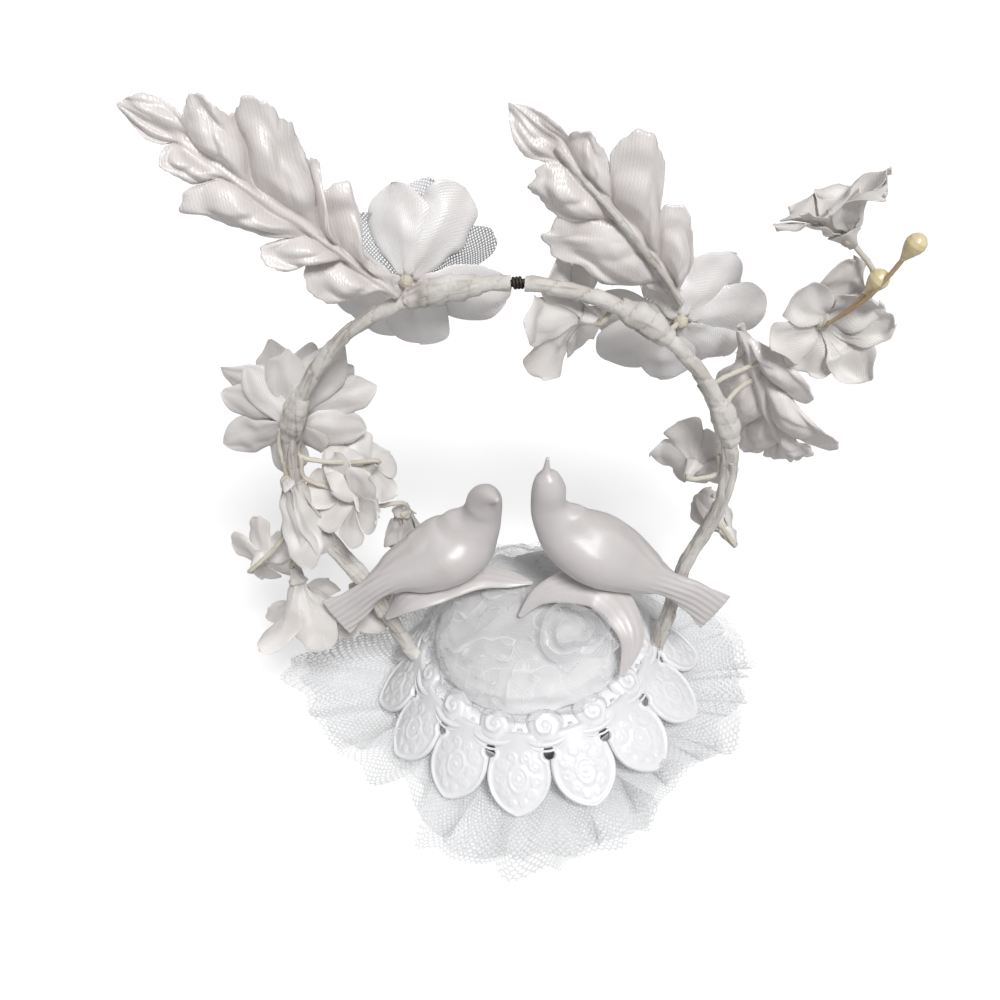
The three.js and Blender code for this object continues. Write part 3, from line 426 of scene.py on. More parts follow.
# One rose in relief: a low dome of petals wound round a bud
around, steps = 44, 17
rho = np.linspace(0, 1, steps)[1:]
P, T = grid(rho, turns_of(around))
wind = (2.5 * P ** 0.8 - T / (2 * math.pi)) % 1
fold = wind ** 1.4 * (1 - ramp(wind, 0.82, 0.18) ** 2)
reach = 4.6 * P * (1 + 0.05 * P * np.cos(5 * T + 0.4))
swell = 2.0 * (1 - P ** 2.6) + 0.62 * fold * ramp(P, 0, 0.2) * np.clip((1.06 - P) / 0.2, 0, 1)
dome = np.stack([reach * np.cos(T), reach * np.sin(T), swell - 0.7 * P ** 6], -1)
flat, faces = closed_shell(dome, (0, 0, 2.5), (0, 0, -1.2))
tilt = math.radians(38)
axes = np.array([(0, 1, 0), (math.cos(tilt), 0, -math.sin(tilt)), (math.sin(tilt), 0, math.cos(tilt))])
seat = np.array([rose_radius, 0, 17.2])
# dip: the rose's inner folds, later greyed as dusty and in painted shade
dip = np.append(np.clip(0.35 - fold, 0, 0.35) * 1.3, [0, 0])
rose = tidied(piece_of("rose", flat @ axes + seat, faces, polystyrene, marks={"hollow": dip}))
roses = ring_of(rose, first_petal + petal_pitch / 2)


# One scallop of the swag: a thick and a thin cord in relief, hung between the roses
def swag(reach, girth, lift):
    """A round cord laid on the shoulder, hung from one rose's side to the other's."""
    turn = np.linspace(-1, 1, 25)
    radius = swag_radius + reach * np.sqrt(np.clip(1 - turn ** 2, 0, None))
    height = np.interp(radius, [24, 27.6, neck, 33], [18.1, 16.6, slope_top(neck), slope_top(33)]) + lift
    ring = turns_of(10)
    line = np.stack([radius * np.cos(turn * petal_pitch / 2),
                     radius * np.sin(turn * petal_pitch / 2), height], 1)
    ahead = unit(np.gradient(line, axis=0))
    out = unit(np.cross(ahead, [0.5, 0, 0.87]))
    over = np.cross(out, ahead)
    size = girth * (0.75 + 0.25 * np.sqrt(np.clip(1 - turn ** 2, 0, None)))
    tube = (line[:, None] + size[:, None, None] * (
        np.cos(ring)[None, :, None] * out[:, None] + np.sin(ring)[None, :, None] * over[:, None]))
    caps = [list(range(10)), list(range(len(line) * 10 - 1, len(line) * 10 - 11, -1))]
    return piece_of("swag", tube.reshape(-1, 3), grid_faces(len(line), 10, True) + caps, polystyrene,
                    marks={"hollow": np.zeros(tube.shape[0] * 10)})


swags = [ring_of(tidied(swag(*sizes)), first_petal + petal_pitch / 2)
         for sizes in ((3.5, 0.72, 0.1), (2.0, 0.45, 0.25), (4.6, 0.3, 0.0))]
base = joined("petal_base_moulding", [petals, cup, roses, *swags])
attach(base, "root")
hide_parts("petal_base")

# Tulle flounce: a strip of bridal tulle, a hexagonal net of fine nylon, gathered to the foot of the
# cup and left to ripple out over the table past the petals. A second ruffle lies over the first.

net_pitch = 1.05
flounce_inner = 24.3
flounce_reach = 53.4
hem_wave = 1.8
plain_hem = 0.8
tuck_place, tuck_width, tuck_height, tuck_in = 3.72, 0.3, 6.5, 5


def tulle_finish(name, colour, film, thread, pitch=net_pitch, solid=1.0):
    """Nylon hexagonal net: film hazes its holes, solid is how dense its threads look, and it closes
    up where its named value doubled says that an edge is folded over."""
    finish, tree = new_finish(name)
    cut = add(tree, "ShaderNodeUVMap", {"uv_map": "cut"})
    cell = add(tree, "ShaderNodeVectorMath", {"operation": "SCALE", "Scale": 1 / pitch, 0: cut})
    row = math.sqrt(3) / 2
    box = {1: (0.5, row, 0.5), 2: (-0.5, -row, -0.5)}
    first = add(tree, "ShaderNodeVectorMath", {"operation": "WRAP", **box, 0: cell})
    moved = add(tree, "ShaderNodeVectorMath", {"operation": "ADD", 0: cell, 1: (0.5, row, 0)})
    second = add(tree, "ShaderNodeVectorMath", {"operation": "WRAP", **box, 0: moved})
    sizes = [add(tree, "ShaderNodeVectorMath", {"operation": "LENGTH", 0: n})
             for n in (first, second)]
    nearer = add(tree, "ShaderNodeMath", {
        "operation": "LESS_THAN", 0: sizes[0].outputs["Value"], 1: sizes[1].outputs["Value"]})
    own = add(tree, "ShaderNodeMix", {"data_type": "VECTOR", 0: nearer, 4: second, 5: first})
    own = add(tree, "ShaderNodeVectorMath", {"operation": "ABSOLUTE", 0: own.outputs[1]})
    slant = add(tree, "ShaderNodeVectorMath", {"operation": "DOT_PRODUCT", 0: own, 1: (0.5, row, 0)})
    parts = add(tree, "ShaderNodeSeparateXYZ", {0: own})
    rim = add(tree, "ShaderNodeMath", {
        "operation": "MAXIMUM", 0: slant.outputs["Value"], 1: parts.outputs["X"]})
    net = add(tree, "ShaderNodeMapRange", {
        "From Min": 0.5 - thread, "From Max": 0.5 - thread * 0.45, "To Min": film, "To Max": solid,
        "Value": rim})
    doubled = add(tree, "ShaderNodeAttribute", {"attribute_name": "doubled"})
    net = add(tree, "ShaderNodeMath", {"operation": "MAXIMUM", 0: net, 1: doubled.outputs["Fac"]})
    bulge = add(tree, "ShaderNodeBump", {"Strength": 0.3, "Distance": 0.0001, "Height": net})
    nylon = add(tree, "ShaderNodeBsdfPrincipled", {
        "Base Color": colour, "Roughness": 0.62, "Specular IOR Level": 0.4, "Sheen Weight": 0.25,
        "Sheen Roughness": 0.4, "Alpha": net, "Normal": bulge})
    add(tree, "ShaderNodeOutputMaterial", {"Surface": nylon})
    return finish


# Bridal tulle: 1 mm hexagons of fine white nylon, matt, seen mostly where it lies over itself
bridal_tulle = tulle_finish("bridal_tulle", "#E9EAEC", 0.08, 0.12)


def hem_radius(angle):
    """How far the flounce reaches: a long flap on the viewer's left, and drawn in at two places."""
    reach = flounce_reach + hem_wave * np.sin(3 * angle + 0.6)
    for more, place, width in ((16, 3.05, 0.36), (-8, 3.95, 0.17), (-4, 5.5, 0.25)):
        reach = reach + more * hump(angle, place, width)
    return reach


def flounce(name, reach_share, lift, height, ripples, sway, phase, strip, tuck):
    """A gathered ring of net: its ripples lean over by sway, wander, and rise by height to the hem.
    At the front left it is tucked up into a fuller fold."""
    around, across = 900, 34
    turn = np.arange(around + 1) * 2 * math.pi / around
    out = np.linspace(0, 1, across)
    O, A = grid(out, turn)
    beyond = ramp(O, 0.3, 0.7)
    wander = (1.5 * np.sin(3 * A + phase) + 0.9 * np.sin(5 * A + 2.1 * phase + 1)
              + 0.5 * np.sin(11 * A + phase))
    beat = np.sin(ripples * A + wander + phase)
    beat = np.sign(beat) * np.abs(beat) ** 0.75
    beat2 = np.sin(ripples * A + wander + phase + 1.2)
    slow = 0.6 + 0.3 * np.cos(2 * A + 0.5 + phase) + 0.22 * np.sin(7 * A + phase)
    fold = tuck * hump(A, tuck_place, tuck_width)
    hem = flounce_inner + (hem_radius(A) - flounce_inner) * reach_share
    hem = hem * (1 + 0.022 * np.sin(11 * A + phase) + 0.018 * np.sin(ripples * 1.7 * A)
                 + 0.012 * np.sin(41 * A + phase))
    radius = flounce_inner + (hem - flounce_inner) * O - tuck_in * fold * beyond ** 2
    rise = lift + height * slow * (0.5 + 0.5 * beat) * beyond ** 1.2
    rise = rise + tuck_height * fold * np.sin(math.pi * np.clip(beyond * 1.15, 0, 1)) * (0.75 + 0.25 * beat)
    shift = sway * slow * beat2 * beyond / radius
    angle = A + shift
    points = np.stack([radius * np.cos(angle), radius * np.sin(angle), rise], -1)
    points[:, -1] = points[:, 0]
    width = (hem_radius(plain_hem) - flounce_inner) * reach_share
    cut = np.stack([A * strip / (2 * math.pi), width * O], -1)
    crest = 0.34 * ramp(beat, 0.84, 0.16) * np.clip(4 * beyond - 0.6, 0, 1) * slow
    return piece_of(name, points.reshape(-1, 3), grid_faces(across, around + 1), bridal_tulle,
                    cut.reshape(-1, 2), {"doubled": crest})


under_flounce = flounce("tulle_flounce_under", 1.0, 0.5, 3.8, 17, 3.6, 0.0, 320, 0.2)
over_flounce = flounce("tulle_flounce_over", 0.93, 1.1, 5.8, 23, 4.9, 1.7, 340, 1.0)
for piece, strip, share in ((under_flounce, 0.32, 1.0), (over_flounce, 0.34, 0.93)):
    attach(piece, "root")
    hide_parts("tulle_flounce")

# Tulle puff: several layers of the same tulle bunched up and pushed into the cup, so that they
# swell over its roses as a soft cloud with loose loops and creases. The doves are glued on it.

puff_top = 36.4
puff_mouth = 21.0
puff_middle = 18
soft_fold, crease_fold, ridge_fold = 12.0, 5.5, 8.5
roses_top = 15.5
net_turn, net_rise = 22, 62
noise.seed_set(12)


def crumple(point, size, seed):
    """Soft folds: noise warped by noise, from about -1 to 1."""
    p = Vector(point) / size + Vector((seed, seed * 1.7, seed * 0.3))
    warp = noise.noise_vector(p * 0.7)
    return noise.noise(p + warp * 1.3)


def puff(name, swell, billow, fold, seed, finish, top_gap):
    """A crumpled dome of net from inside the cup to its top."""
    around, steps = 180, 84
    share = np.linspace(0, 1, steps)
    stations = [0, 0.1, 0.25, 0.42, 0.6, 0.76, 0.88, 0.96, 1]
    radius_shares = np.interp(share, stations, [0.92, 0.98, 1.04, 1.16, 1.14, 0.98, 0.66, 0.3, 0.0])
    height_shares = np.interp(share, stations, [0.3, 0.4, 0.49, 0.565, 0.72, 0.87, 0.96, 0.99, 1.0])
    points, cut, doubled = [], [], []
    for i in range(steps):
        for k in range(around + 1):
            angle = 2 * math.pi * (k % around) / around
            radius = puff_mouth * radius_shares[i] * swell
            height = (puff_top - top_gap) * height_shares[i]
            spot = Vector((radius * math.cos(angle), radius * math.sin(angle), height))
            out = Vector((spot.x, spot.y, (height - puff_middle) * 0.9)).normalized()
            free = min(1.0, max(0.0, (height - roses_top) / 4))
            soft = crumple(spot, soft_fold, seed)
            crease = crumple(spot, crease_fold, seed + 5)
            ridge = 1 - abs(crumple(spot, ridge_fold, seed + 11)) * 3.4
            lift = billow * soft + fold * crease * 0.12 + fold * 0.8 * max(0.0, ridge) ** 2
            doubled.append(0.6 * max(0.0, min(1.0, (ridge - 0.84) / 0.12)))
            spot += out * (lift * (0.25 + 0.75 * free))
            spot.z = min(spot.z, puff_top + 1.2)
            points.append(spot[:])
            cut.append((angle * net_turn if k < around else 2 * math.pi * net_turn, share[i] * net_rise))
    return piece_of(name, points, grid_faces(steps, around + 1), finish, cut, {"doubled": doubled})


# Bunched tulle: so many layers that it reads as a soft white mass, its net hardly seen. Its grey over
# the middle and top is painted shade, its whitening toward the cup is painted light, and the faint bright
# lines along the edges of its folds are painted highlights
bunched, tree = new_finish("bunched_tulle_layers")
place = add(tree, "ShaderNodeTexCoord").outputs["Object"]
haze = add(tree, "ShaderNodeTexNoise", {
    "Scale": 150.0, "Detail": 5.0, "Roughness": 0.55, "Vector": place})
layers = add(tree, "ShaderNodeTexNoise", {
    "Scale": 70.0, "Detail": 0.5, "Distortion": 1.4, "Vector": place})
layers = add(tree, "ShaderNodeMath", {"operation": "MULTIPLY", 0: layers, 1: 4.0})
layers = add(tree, "ShaderNodeMath", {"operation": "FRACT", 0: layers})
fibre = add(tree, "ShaderNodeTexNoise", {"Scale": 1100.0, "Detail": 4.0, "Vector": place})
tone = add(tree, "ShaderNodeMapRange", {"From Min": 0.35, "From Max": 0.62, "Value": haze})
# Grey tones for the cloud's middle and top: painted shade
cloth = add(tree, "ShaderNodeMix", {"data_type": "RGBA", 0: tone, 6: "#C9C8C9", 7: "#D8D7D7"})
high = add(tree, "ShaderNodeSeparateXYZ", {0: place})
# Whiter low down, against the roses: painted light
painted_light_low = add(tree, "ShaderNodeMapRange", {
    "From Min": 0.023, "From Max": 0.034, "To Min": 1.0, "To Max": 0.0, "Value": high.outputs["Z"]})
cloth = add(tree, "ShaderNodeMix", {"data_type": "RGBA", 0: painted_light_low, 6: cloth.outputs[2], 7: "#F3F3F4"})
# Faint bright lines at the fold edges: painted highlights
edge = add(tree, "ShaderNodeMapRange", {
    "From Min": 0.86, "From Max": 0.97, "To Min": 0.0, "To Max": 0.6, "Value": layers})
cloth = add(tree, "ShaderNodeMix", {"data_type": "RGBA", 0: edge, 6: cloth.outputs[2], 7: "#FAFAFA"})
bulge = add(tree, "ShaderNodeBump", {"Strength": 0.12, "Distance": 0.0008, "Height": layers})
bulge = add(tree, "ShaderNodeBump", {
    "Strength": 0.12, "Distance": 0.0005, "Height": haze, "Normal": bulge})
bulge = add(tree, "ShaderNodeBump", {
    "Strength": 0.06, "Distance": 0.0002, "Height": fibre, "Normal": bulge})
nylon = add(tree, "ShaderNodeBsdfPrincipled", {
    "Roughness": 0.8, "Specular IOR Level": 0.2, "Sheen Weight": 0.35, "Sheen Roughness": 0.5,
    "Subsurface Weight": 0.45, "Subsurface Radius": (1, 1, 1), "Subsurface Scale": 0.003,
    "Base Color": cloth.outputs[2], "Normal": bulge})
add(tree, "ShaderNodeOutputMaterial", {"Surface": nylon})

# Outer veil of the puff: loose layers, so close over others that their net is only faintly seen
veil_tulle = tulle_finish("loose_tulle_veil", "#E9E9EB", 0.2, 0.1, 0.95, 0.26)

puff_core = puff("tulle_puff_layers", 1.0, 2.0, 0.45, 3.1, bunched, 1.6)
puff_veil = puff("tulle_puff_veil", 1.05, 2.4, 1.7, 8.4, veil_tulle, 0.8)
for piece, length in ((puff_core, 0.062), (puff_veil, 0.064)):
    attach(piece, "root")
    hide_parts("tulle_puff")

# Tulle rosette: a strip of stiffer tulle rolled into a loose rose, and stitched to the puff's front
# with its outer turns opened like petals.

rosette_centre = Vector((11.6, -12.4, 35.3))
rosette_lean = Euler((0.75, 0.42, 0)).to_matrix()


def rosette_strip(name, turns, start, end, tall, flare, wave, sink, strip):
    """A rolled strip of net that opens outward, its free edge waved."""
    along, across = 170, 17
    points, cut, doubled = [], [], []
    for j in range(across):
        up = j / (across - 1)
        for i in range(along):
            t = i / (along - 1)
            angle = 2 * math.pi * turns * t
            radius = start + (end - start) * t + flare * up ** 1.6 * (0.4 + 0.6 * t)
            radius *= 1 + 0.16 * math.sin(2 * angle + 1) + 0.11 * math.sin(3.3 * angle)
            height = (tall * up * (1 - 0.25 * t) - sink * t
                      + wave * math.sin(angle * 3.1) * up * (0.3 + 0.7 * t))
            spot = Vector((radius * math.cos(angle), radius * math.sin(angle), height))
            points.append((rosette_lean @ spot + rosette_centre)[:])
            cut.append((t * strip, up * (tall + flare)))
            doubled.append(0.5 if j >= across - 2 else 0.0)
    return piece_of(name, points, grid_faces(across, along), organza, cut, {"doubled": doubled})


# Stiff tulle: a finer, closer net that holds its rolled shape
organza = tulle_finish("stiff_fine_tulle", "#ECEBED", 0.34, 0.1, 0.85, 0.56)
rosette = rosette_strip("tulle_rosette_roll", 1.3, 2.2, 4.8, 4.4, 1.8, 0.8, 2.0, 38)
petals_out = rosette_strip("tulle_rosette_petals", 1.15, 5.0, 7.4, 4.0, 2.6, 1.2, 2.4, 50)
for piece, length in ((rosette, 0.038), (petals_out, 0.05)):
    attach(piece, "root")
    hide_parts("tulle_rosette")

# Arch: two florist's wires in paper tape, one from each side of the base, which meet end to end at a
# bare stretch on top. The tape is wound in a spiral and creased, and it is darker, grimy and in painted
# shade, at the foot of its laps and along its creases.

arch_width, arch_height = 98, 118.5
arch_wire, tape_pitch = 3.1, 6.5
leg_shares = [
    (-0.3, 0, 0.05), (-0.33, 0, 0.13), (-0.36, 0, 0.22), (-0.395, 0, 0.33), (-0.45, 0, 0.43),
    (-0.487, 0, 0.515), (-0.5, 0, 0.61), (-0.483, 0, 0.695), (-0.445, 0, 0.775), (-0.39, 0, 0.845),
    (-0.322, 0, 0.907), (-0.235, 0, 0.955), (-0.123, 0, 0.989), (0, 0, 1)]
tie_shares = (0.075, 0, 0.9975)


def in_wreath(shares):
    """A place in the wreath: across and deep in shares of the arch's width, up of its height."""
    return np.array([shares[0] * arch_width, shares[1] * arch_width, shares[2] * arch_height + tip_rise])


def curve_through(points, step=0.5):
    """A smooth line through the points (centripetal Catmull-Rom), with even steps in mm."""
    p = np.asarray(points, float)
    p = np.concatenate([[2 * p[0] - p[1]], p, [2 * p[-1] - p[-2]]])
    line = []
    for a, b, c, d in zip(p, p[1:], p[2:], p[3:]):
        u, v, w = (max(np.linalg.norm(y - x), 1e-6) ** 0.5 for x, y in ((a, b), (b, c), (c, d)))
        leave = ((b - a) / u - (c - a) / (u + v) + (c - b) / v) * v
        arrive = ((c - b) / v - (d - b) / (v + w) + (d - c) / w) * v
        t = np.linspace(0, 1, 40, endpoint=False)[:, None]
        line.append(b + leave * t + (3 * (c - b) - 2 * leave - arrive) * t ** 2
                    + (2 * (b - c) + leave + arrive) * t ** 3)
    line = np.concatenate([*line, p[-2:-1]])
    gone = np.concatenate([[0], np.cumsum(np.linalg.norm(np.diff(line, axis=0), axis=1))])
    even = np.linspace(0, gone[-1], max(3, int(gone[-1] / step) + 1))
    return np.stack([np.interp(even, gone, line[:, i]) for i in range(3)], 1)


def stretch(line, start, end):
    """The part of a line between two shares of its length."""
    return line[int(round(start * (len(line) - 1))):int(round(end * (len(line) - 1))) + 1]


# A taped wire along a line: a round section whose face steps up at each lap of the spiral tape
wire_tree = new_tree("taped_wire", [
    ("Radius", "NodeSocketFloat", 0.0015), ("Tape", "NodeSocketFloat", 0.006),
    ("Lap", "NodeSocketFloat", 0.0002), ("Lump", "NodeSocketFloat", 0.0001),
    ("Lump Size", "NodeSocketFloat", 300.0), ("Sides", "NodeSocketInt", 14),
    ("Finish", "NodeSocketMaterial", None)])
given = add(wire_tree, "NodeGroupInput").outputs
line = add(wire_tree, "GeometryNodeMeshToCurve", {"Mesh": given["Geometry"]})
girth = add(wire_tree, "GeometryNodeInputNamedAttribute", {"data_type": "FLOAT", "Name": "girth"})
size = add(wire_tree, "ShaderNodeMath", {
    "operation": "MULTIPLY", 0: girth.outputs["Attribute"], 1: given["Radius"]})
ring = add(wire_tree, "GeometryNodeCurvePrimitiveCircle", {"Radius": 1.0, "Resolution": given["Sides"]})
held = []
for curve, label, measure in ((line, "along", "Length"), (ring, "around", "Factor")):
    held.append(add(wire_tree, "GeometryNodeCaptureAttribute", {"domain": "POINT", 0: curve}))
    held[-1].capture_items.new("FLOAT", label)
    share = add(wire_tree, "GeometryNodeSplineParameter").outputs[measure]
    wire_tree.links.new(share, held[-1].inputs[label])
along, around = held[0].outputs["along"], held[1].outputs["around"]
sized = add(wire_tree, "GeometryNodeSetCurveRadius", {"Curve": held[0], "Radius": size})
tube = add(wire_tree, "GeometryNodeCurveToMesh", {
    "Fill Caps": True, "Curve": sized, "Profile Curve": held[1]})
if "Scale" in tube.inputs:
    wire_tree.links.new(size.outputs[0], tube.inputs["Scale"])
turns = add(wire_tree, "ShaderNodeMath", {"operation": "DIVIDE", 0: along, 1: given["Tape"]})
turns = add(wire_tree, "ShaderNodeMath", {"operation": "ADD", 0: turns, 1: around})
lap = add(wire_tree, "ShaderNodeMath", {"operation": "FRACT", 0: turns})
step_up = add(wire_tree, "ShaderNodeMath", {"operation": "MULTIPLY", 0: lap, 1: given["Lap"]})
lump = add(wire_tree, "ShaderNodeTexNoise", {"Detail": 3.0, "Scale": given["Lump Size"]})
lump = add(wire_tree, "ShaderNodeMath", {"operation": "SUBTRACT", 0: lump, 1: 0.5})
lump = add(wire_tree, "ShaderNodeMath", {
    "operation": "MULTIPLY_ADD", 0: lump, 1: given["Lump"], 2: step_up})
facing = add(wire_tree, "GeometryNodeInputNormal")
push = add(wire_tree, "ShaderNodeVectorMath", {"operation": "SCALE", "Scale": lump, 0: facing})
tube = add(wire_tree, "GeometryNodeSetPosition", {"Geometry": tube, "Offset": push})
for label, source in (("lap", lap), ("run", along), ("around", around)):
    tube = add(wire_tree, "GeometryNodeStoreNamedAttribute", {
        "data_type": "FLOAT", "domain": "POINT", "Name": label, "Geometry": tube, "Value": source})
tube = add(wire_tree, "GeometryNodeRealizeInstances", {0: tube})
tube = add(wire_tree, "GeometryNodeSetMaterial", {"Geometry": tube, "Material": given["Finish"]})
add(wire_tree, "NodeGroupOutput", {0: tube})


def taped(name, line, radius, finish, girth=1.0, tape=tape_pitch, lap=0.22, lump=0.35, size=260.0,
          sides=14):
    """A taped wire along a line of points in mm. girth is its thickness at each point, in shares."""
    mesh = bpy.data.meshes.new(name)
    mesh.from_pydata((np.asarray(line) * mm).tolist(), [(i, i + 1) for i in range(len(line) - 1)], [])
    mesh.attributes.new("girth", "FLOAT", "POINT").data.foreach_set(
        "value", (np.ones(len(line)) * girth).astype(np.float32))
    return tidied(run_tree(placed(name, mesh), wire_tree, {
        "Radius": radius * mm, "Tape": tape * mm, "Lap": lap * mm, "Lump": lump * mm,
        "Lump Size": size, "Sides": sides, "Finish": finish}))


# Florist's paper tape: waxed crepe paper, cream white, grey-brown in patches at the foot of its laps
# and along its creases, grimy and in painted shade
def tape_finish(name, clean, stained, grime_and_shade, grime_and_shade_share):
    """Crepe paper wound on in a spiral. Its creases are noise drawn out along the wire. They and the foot
    of each lap darken in grimy patches that also carry painted shade.
    """
    finish, tree = new_finish(name)
    place = add(tree, "ShaderNodeTexCoord").outputs["Object"]
    lap = add(tree, "ShaderNodeAttribute", {"attribute_name": "lap"})
    patch = add(tree, "ShaderNodeTexNoise", {
        "Scale": 95.0, "Detail": 5.0, "Roughness": 0.6, "Vector": place})
    crepe = add(tree, "ShaderNodeTexNoise", {
        "Scale": 1500.0, "Detail": 4.0, "Distortion": 0.6, "Vector": place})
    share = add(tree, "ShaderNodeMapRange", {"From Min": 0.38, "From Max": 0.68, "Value": patch})
    colour = add(tree, "ShaderNodeMix", {"data_type": "RGBA", 0: share, 6: clean, 7: stained})
    # The foot of each lap, greyed in grimy patches that carry painted shade
    low = add(tree, "ShaderNodeMapRange", {
        "From Min": 0.0, "From Max": 0.2, "To Min": 1.0, "To Max": 0.0, "Value": lap.outputs["Fac"]})
    dark_patches = add(tree, "ShaderNodeMapRange", {
        "From Min": 0.4, "From Max": 0.7, "To Min": 0.15, "To Max": grime_and_shade_share, "Value": patch})
    lap_grime_and_shade = add(tree, "ShaderNodeMath", {"operation": "MULTIPLY", 0: low, 1: dark_patches})
    colour = add(tree, "ShaderNodeMix", {"data_type": "RGBA", 0: lap_grime_and_shade, 6: colour.outputs[2], 7: grime_and_shade})
    run = add(tree, "ShaderNodeAttribute", {"attribute_name": "run"})
    around = add(tree, "ShaderNodeAttribute", {"attribute_name": "around"})
    run = add(tree, "ShaderNodeMath", {"operation": "MULTIPLY", 0: run.outputs["Fac"], 1: 70.0})
    wound = add(tree, "ShaderNodeMath", {
        "operation": "MULTIPLY_ADD", 0: around.outputs["Fac"], 1: 2 * math.pi, 2: run})
    sides = [add(tree, "ShaderNodeMath", {"operation": kind, 0: wound})
             for kind in ("SINE", "COSINE")]
    drawn = add(tree, "ShaderNodeCombineXYZ", {"X": sides[0], "Y": sides[1], "Z": run})
    drawn = add(tree, "ShaderNodeTexNoise", {"Scale": 1.0, "Detail": 1.0, "Vector": drawn})
    # Darker on one side of each crease: painted shade, in the grimy patches
    fold = add(tree, "ShaderNodeMapRange", {
        "From Min": 0.5, "From Max": 0.57, "To Min": 0.0, "To Max": 0.8, "Value": drawn})
    past = add(tree, "ShaderNodeMapRange", {
        "From Min": 0.58, "From Max": 0.7, "To Min": 1.0, "To Max": 0.1, "Value": drawn})
    for source in (past, dark_patches):
        fold = add(tree, "ShaderNodeMath", {"operation": "MULTIPLY", 0: fold, 1: source})
    colour = add(tree, "ShaderNodeMix", {"data_type": "RGBA", 0: fold, 6: colour.outputs[2], 7: grime_and_shade})
    bump = add(tree, "ShaderNodeBump", {"Strength": 0.35, "Distance": 0.0008, "Height": drawn})
    bump = add(tree, "ShaderNodeBump", {
        "Strength": 0.55, "Distance": 0.0003, "Height": crepe, "Normal": bump})
    paper = add(tree, "ShaderNodeBsdfPrincipled", {
        "Roughness": 0.78, "Specular IOR Level": 0.35, "Base Color": colour.outputs[2],
        "Normal": bump})
    add(tree, "ShaderNodeOutputMaterial", {"Surface": paper})
    return finish


# Its last colour is the grey-brown of grimy patches and painted shade
paper_tape = tape_finish("florists_paper_tape", "#DFDCD8", "#BFB8B0", "#756C62", 0.9)

arches = {
    "left": curve_through([in_wreath(s) for s in [*leg_shares, tie_shares]]),
    "right": curve_through([in_wreath((-s[0], s[1], s[2])) for s in leg_shares[:-1]]
                           + [in_wreath(tie_shares)])}
for side, line in arches.items():
    share = np.linspace(0, 1, len(line))
    girth = 1 + 0.07 * np.sin(23 * share) * np.sin(9 * share + 1) + 0.12 * hump(share, 0.12, 0.1)
    wire = taped(f"arch_{side}_taped_wire", line[:-3], arch_wire / 2 - 0.1, paper_tape, girth[:-3],
                 lap=0.3, lump=0.5, size=230.0, sides=20)
    # Stem ends taped down the leg, half wound round it
    strands = []
    for k, (start, end, off) in enumerate(((0.1, 0.66, 1.55), (0.16, 0.58, 1.75), (0.2, 0.5, 1.5))):
        run = stretch(line, start, end)
        t = np.linspace(0, 1, len(run))[:, None]
        turn = (1.9 + 2.1 * k + 1.5 * t) * (1 if side == "left" else -1)
        run = run + off * (np.cos(turn) * np.array((0.8, 0, 0.6)) + np.sin(turn) * np.array((0, 1, 0)))
        strands.append(taped("strand", run[::2], 0.78, paper_tape, 1 + 0.14 * np.sin(31 * t[::2, 0] + k),
                             tape=4.4, lap=0.14, lump=0.4, size=260.0, sides=11))
    wire = joined(f"arch_{side}_taped_wire", [wire, *strands])
    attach(wire, "root")
    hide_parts(f"arch_wire_{side}")

# Bare stretch: dark annealed iron wire left uncovered where the two taped wires meet. Three turns
# of a thinner wire bind their ends.

# Annealed iron: dull dark grey with a brown bloom
iron, tree = new_finish("annealed_iron_wire")
place = add(tree, "ShaderNodeTexCoord").outputs["Object"]
bloom = add(tree, "ShaderNodeTexNoise", {"Scale": 1200.0, "Detail": 3.0, "Vector": place})
colour = add(tree, "ShaderNodeMix", {"data_type": "RGBA", 0: bloom, 6: "#2A2826", 7: "#4A423B"})
rough = add(tree, "ShaderNodeMapRange", {"To Min": 0.4, "To Max": 0.65, "Value": bloom})
metal = add(tree, "ShaderNodeBsdfPrincipled", {
    "Metallic": 0.85, "Base Color": colour.outputs[2], "Roughness": rough})
add(tree, "ShaderNodeOutputMaterial", {"Surface": metal})
middle = in_wreath(tie_shares)
core = np.array([middle + (x, 0, 0) for x in np.linspace(-1.6, 1.6, 8)])
coil_turn = np.linspace(0, 1, 90)
coil = np.stack([middle[0] + 2.0 * (coil_turn - 0.5), middle[1] + 0.95 * np.cos(6 * math.pi * coil_turn),
                 middle[2] + 0.95 * np.sin(6 * math.pi * coil_turn)], 1)
tie = joined("arch_bare_tie", [
    taped("tie_core", core, 0.75, iron, lap=0, lump=0.05, sides=10),
    taped("tie_coil", coil, 0.36, iron, lap=0, lump=0.03, sides=8)])
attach(tie, "root")
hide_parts("arch_tie")

# Wraps: where stems join the arch, more paper tape is wound over them in a swollen sleeve.

wraps = {
    "wrap_crown_left": ("left", 0.9, 0.1), "wrap_side_left": ("left", 0.58, 0.08),
    "wrap_low_left": ("left", 0.41, 0.1), "wrap_crown_right": ("right", 0.8, 0.09),
    "wrap_side_right": ("right", 0.57, 0.08)}
for name, (side, middle_share, length_share) in wraps.items():
    line = stretch(arches[side], middle_share - length_share / 2, middle_share + length_share / 2)
    share = np.linspace(0, 1, len(line))
    girth = 0.62 + 0.38 * np.sin(math.pi * share) ** 0.6 + 0.05 * np.sin(17 * share + 2)
    sleeve = taped(f"{name}_sleeve", line, arch_wire / 2 + 1.1, paper_tape, girth, tape=4.2, lap=0.35,
                   lump=0.9, size=330.0, sides=22)
    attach(sleeve, "root")
    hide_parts(name)

# Stems: thin wires in pale crepe paper, from the knot behind each flower down to the arch, where
# they lie along it under the tape. The ones from older blossoms have yellowed.

stem_wire = 1.2
knot_size = 3.0
# Its last colour is the grey-brown of grimy patches and painted shade at laps and creases
stem_paper = tape_finish("yellowed_stem_paper", "#DAD6CC", "#C9C1AE", "#8F8472", 0.6)


